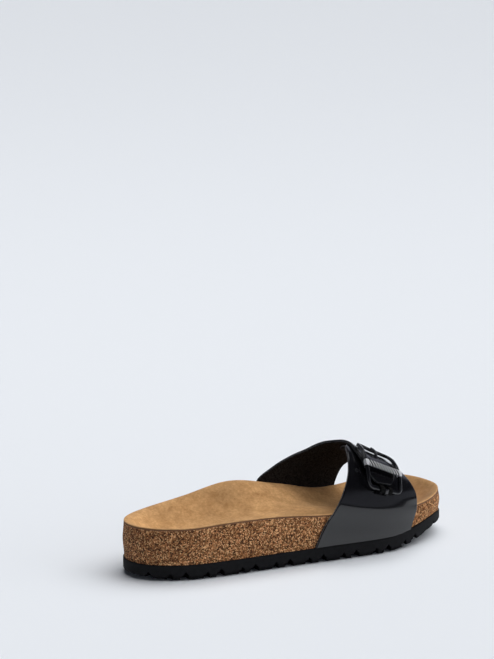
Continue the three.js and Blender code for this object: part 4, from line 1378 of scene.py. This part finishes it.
def aimed(name, kind, way, energy):
    """A lamp that shines down a direction, and its data."""
    data = bpy.data.lights.new(name, kind)
    data.energy = energy
    light = placed(name, data)
    light.rotation_mode = "QUATERNION"
    light.rotation_quaternion = Vector(way).to_track_quat("Z", "Y")
    return light, data


def even_light(name, way, spread, energy):
    """A sun as wide as a softbox, which lights the whole floor evenly and shows in no gloss."""
    light, data = aimed(name, "SUN", way, energy)
    data.angle = math.radians(spread)
    light.visible_glossy = False


def make_lights(stage):
    """Soft lights, and a room whose brightness changes with height alone."""
    even_light("overhead", (0.5, 0.05, 1.0), 70, stage.overhead_strength)
    even_light("front", (0.3, -1.0, 0.7), 80, stage.front_strength)
    even_light("side", (0.9, -0.75, 0.4), 50, stage.side_strength)
    panel, data = aimed("back_top", "AREA", PANEL_PLACE, 6.0)
    panel.location = PANEL_PLACE
    data.shape = "RECTANGLE"
    data.size, data.size_y = 1.3, 0.8
    world = bpy.data.worlds.new("room")
    world.use_nodes = True
    bpy.context.scene.world = world
    tree = world.node_tree
    way = node(tree, "ShaderNodeTexCoord").outputs["Generated"]
    height = node(tree, "ShaderNodeSeparateXYZ", {0: way}).outputs[2]
    room = ramp(tree, math_node(tree, "MULTIPLY_ADD", height, 0.5, 0.5), (
        (0.47, (0.7, 0.72, 0.75)), (0.485, (0.01, 0.01, 0.012)), (0.535, (0.01, 0.01, 0.012)),
        (0.55, (0.25, 0.26, 0.3)), (0.66, (0.22, 0.23, 0.27)), (0.7, (0.012, 0.012, 0.016))))
    feed(tree, tree.nodes["Background"].inputs["Color"], room)


class SANDAL_PT_pieces(bpy.types.Panel):
    """Lists the sandal's pieces, sizes, colours and stage"""

    bl_label = "Slide sandal"
    bl_space_type = "VIEW_3D"
    bl_region_type = "UI"
    bl_category = "Sandal"

    def draw(self, context):
        for made in OPERATORS:
            self.layout.operator(made.bl_idname)
        for group in (context.scene.sandal_sizes, context.scene.sandal_looks, context.scene.sandal_stage):
            box = self.layout.box()
            for key in group.bl_rna.properties.keys():
                if key not in ("rna_type", "name"):
                    box.prop(group, key)


OPERATORS = (SANDAL_OT_outsole, SANDAL_OT_footbed, SANDAL_OT_straps, SANDAL_OT_buckle, SANDAL_OT_stage)
GROUPS = (SandalSizes, SandalLooks, SandalStage)


def register():
    for made in (*GROUPS, *OPERATORS, SANDAL_PT_pieces):
        bpy.utils.register_class(made)
    bpy.types.Scene.sandal_sizes = bpy.props.PointerProperty(type=SandalSizes)
    bpy.types.Scene.sandal_looks = bpy.props.PointerProperty(type=SandalLooks)
    bpy.types.Scene.sandal_stage = bpy.props.PointerProperty(type=SandalStage)


def unregister():
    del bpy.types.Scene.sandal_sizes
    del bpy.types.Scene.sandal_looks
    del bpy.types.Scene.sandal_stage
    for made in reversed((*GROUPS, *OPERATORS, SANDAL_PT_pieces)):
        bpy.utils.unregister_class(made)


def main():
    """Makes every piece and the studio."""
    register()
    bpy.ops.sandal.outsole()
    bpy.ops.sandal.footbed()
    bpy.ops.sandal.straps()
    bpy.ops.sandal.buckle()
    bpy.ops.sandal.stage()


if __name__ == "__main__":
    main()
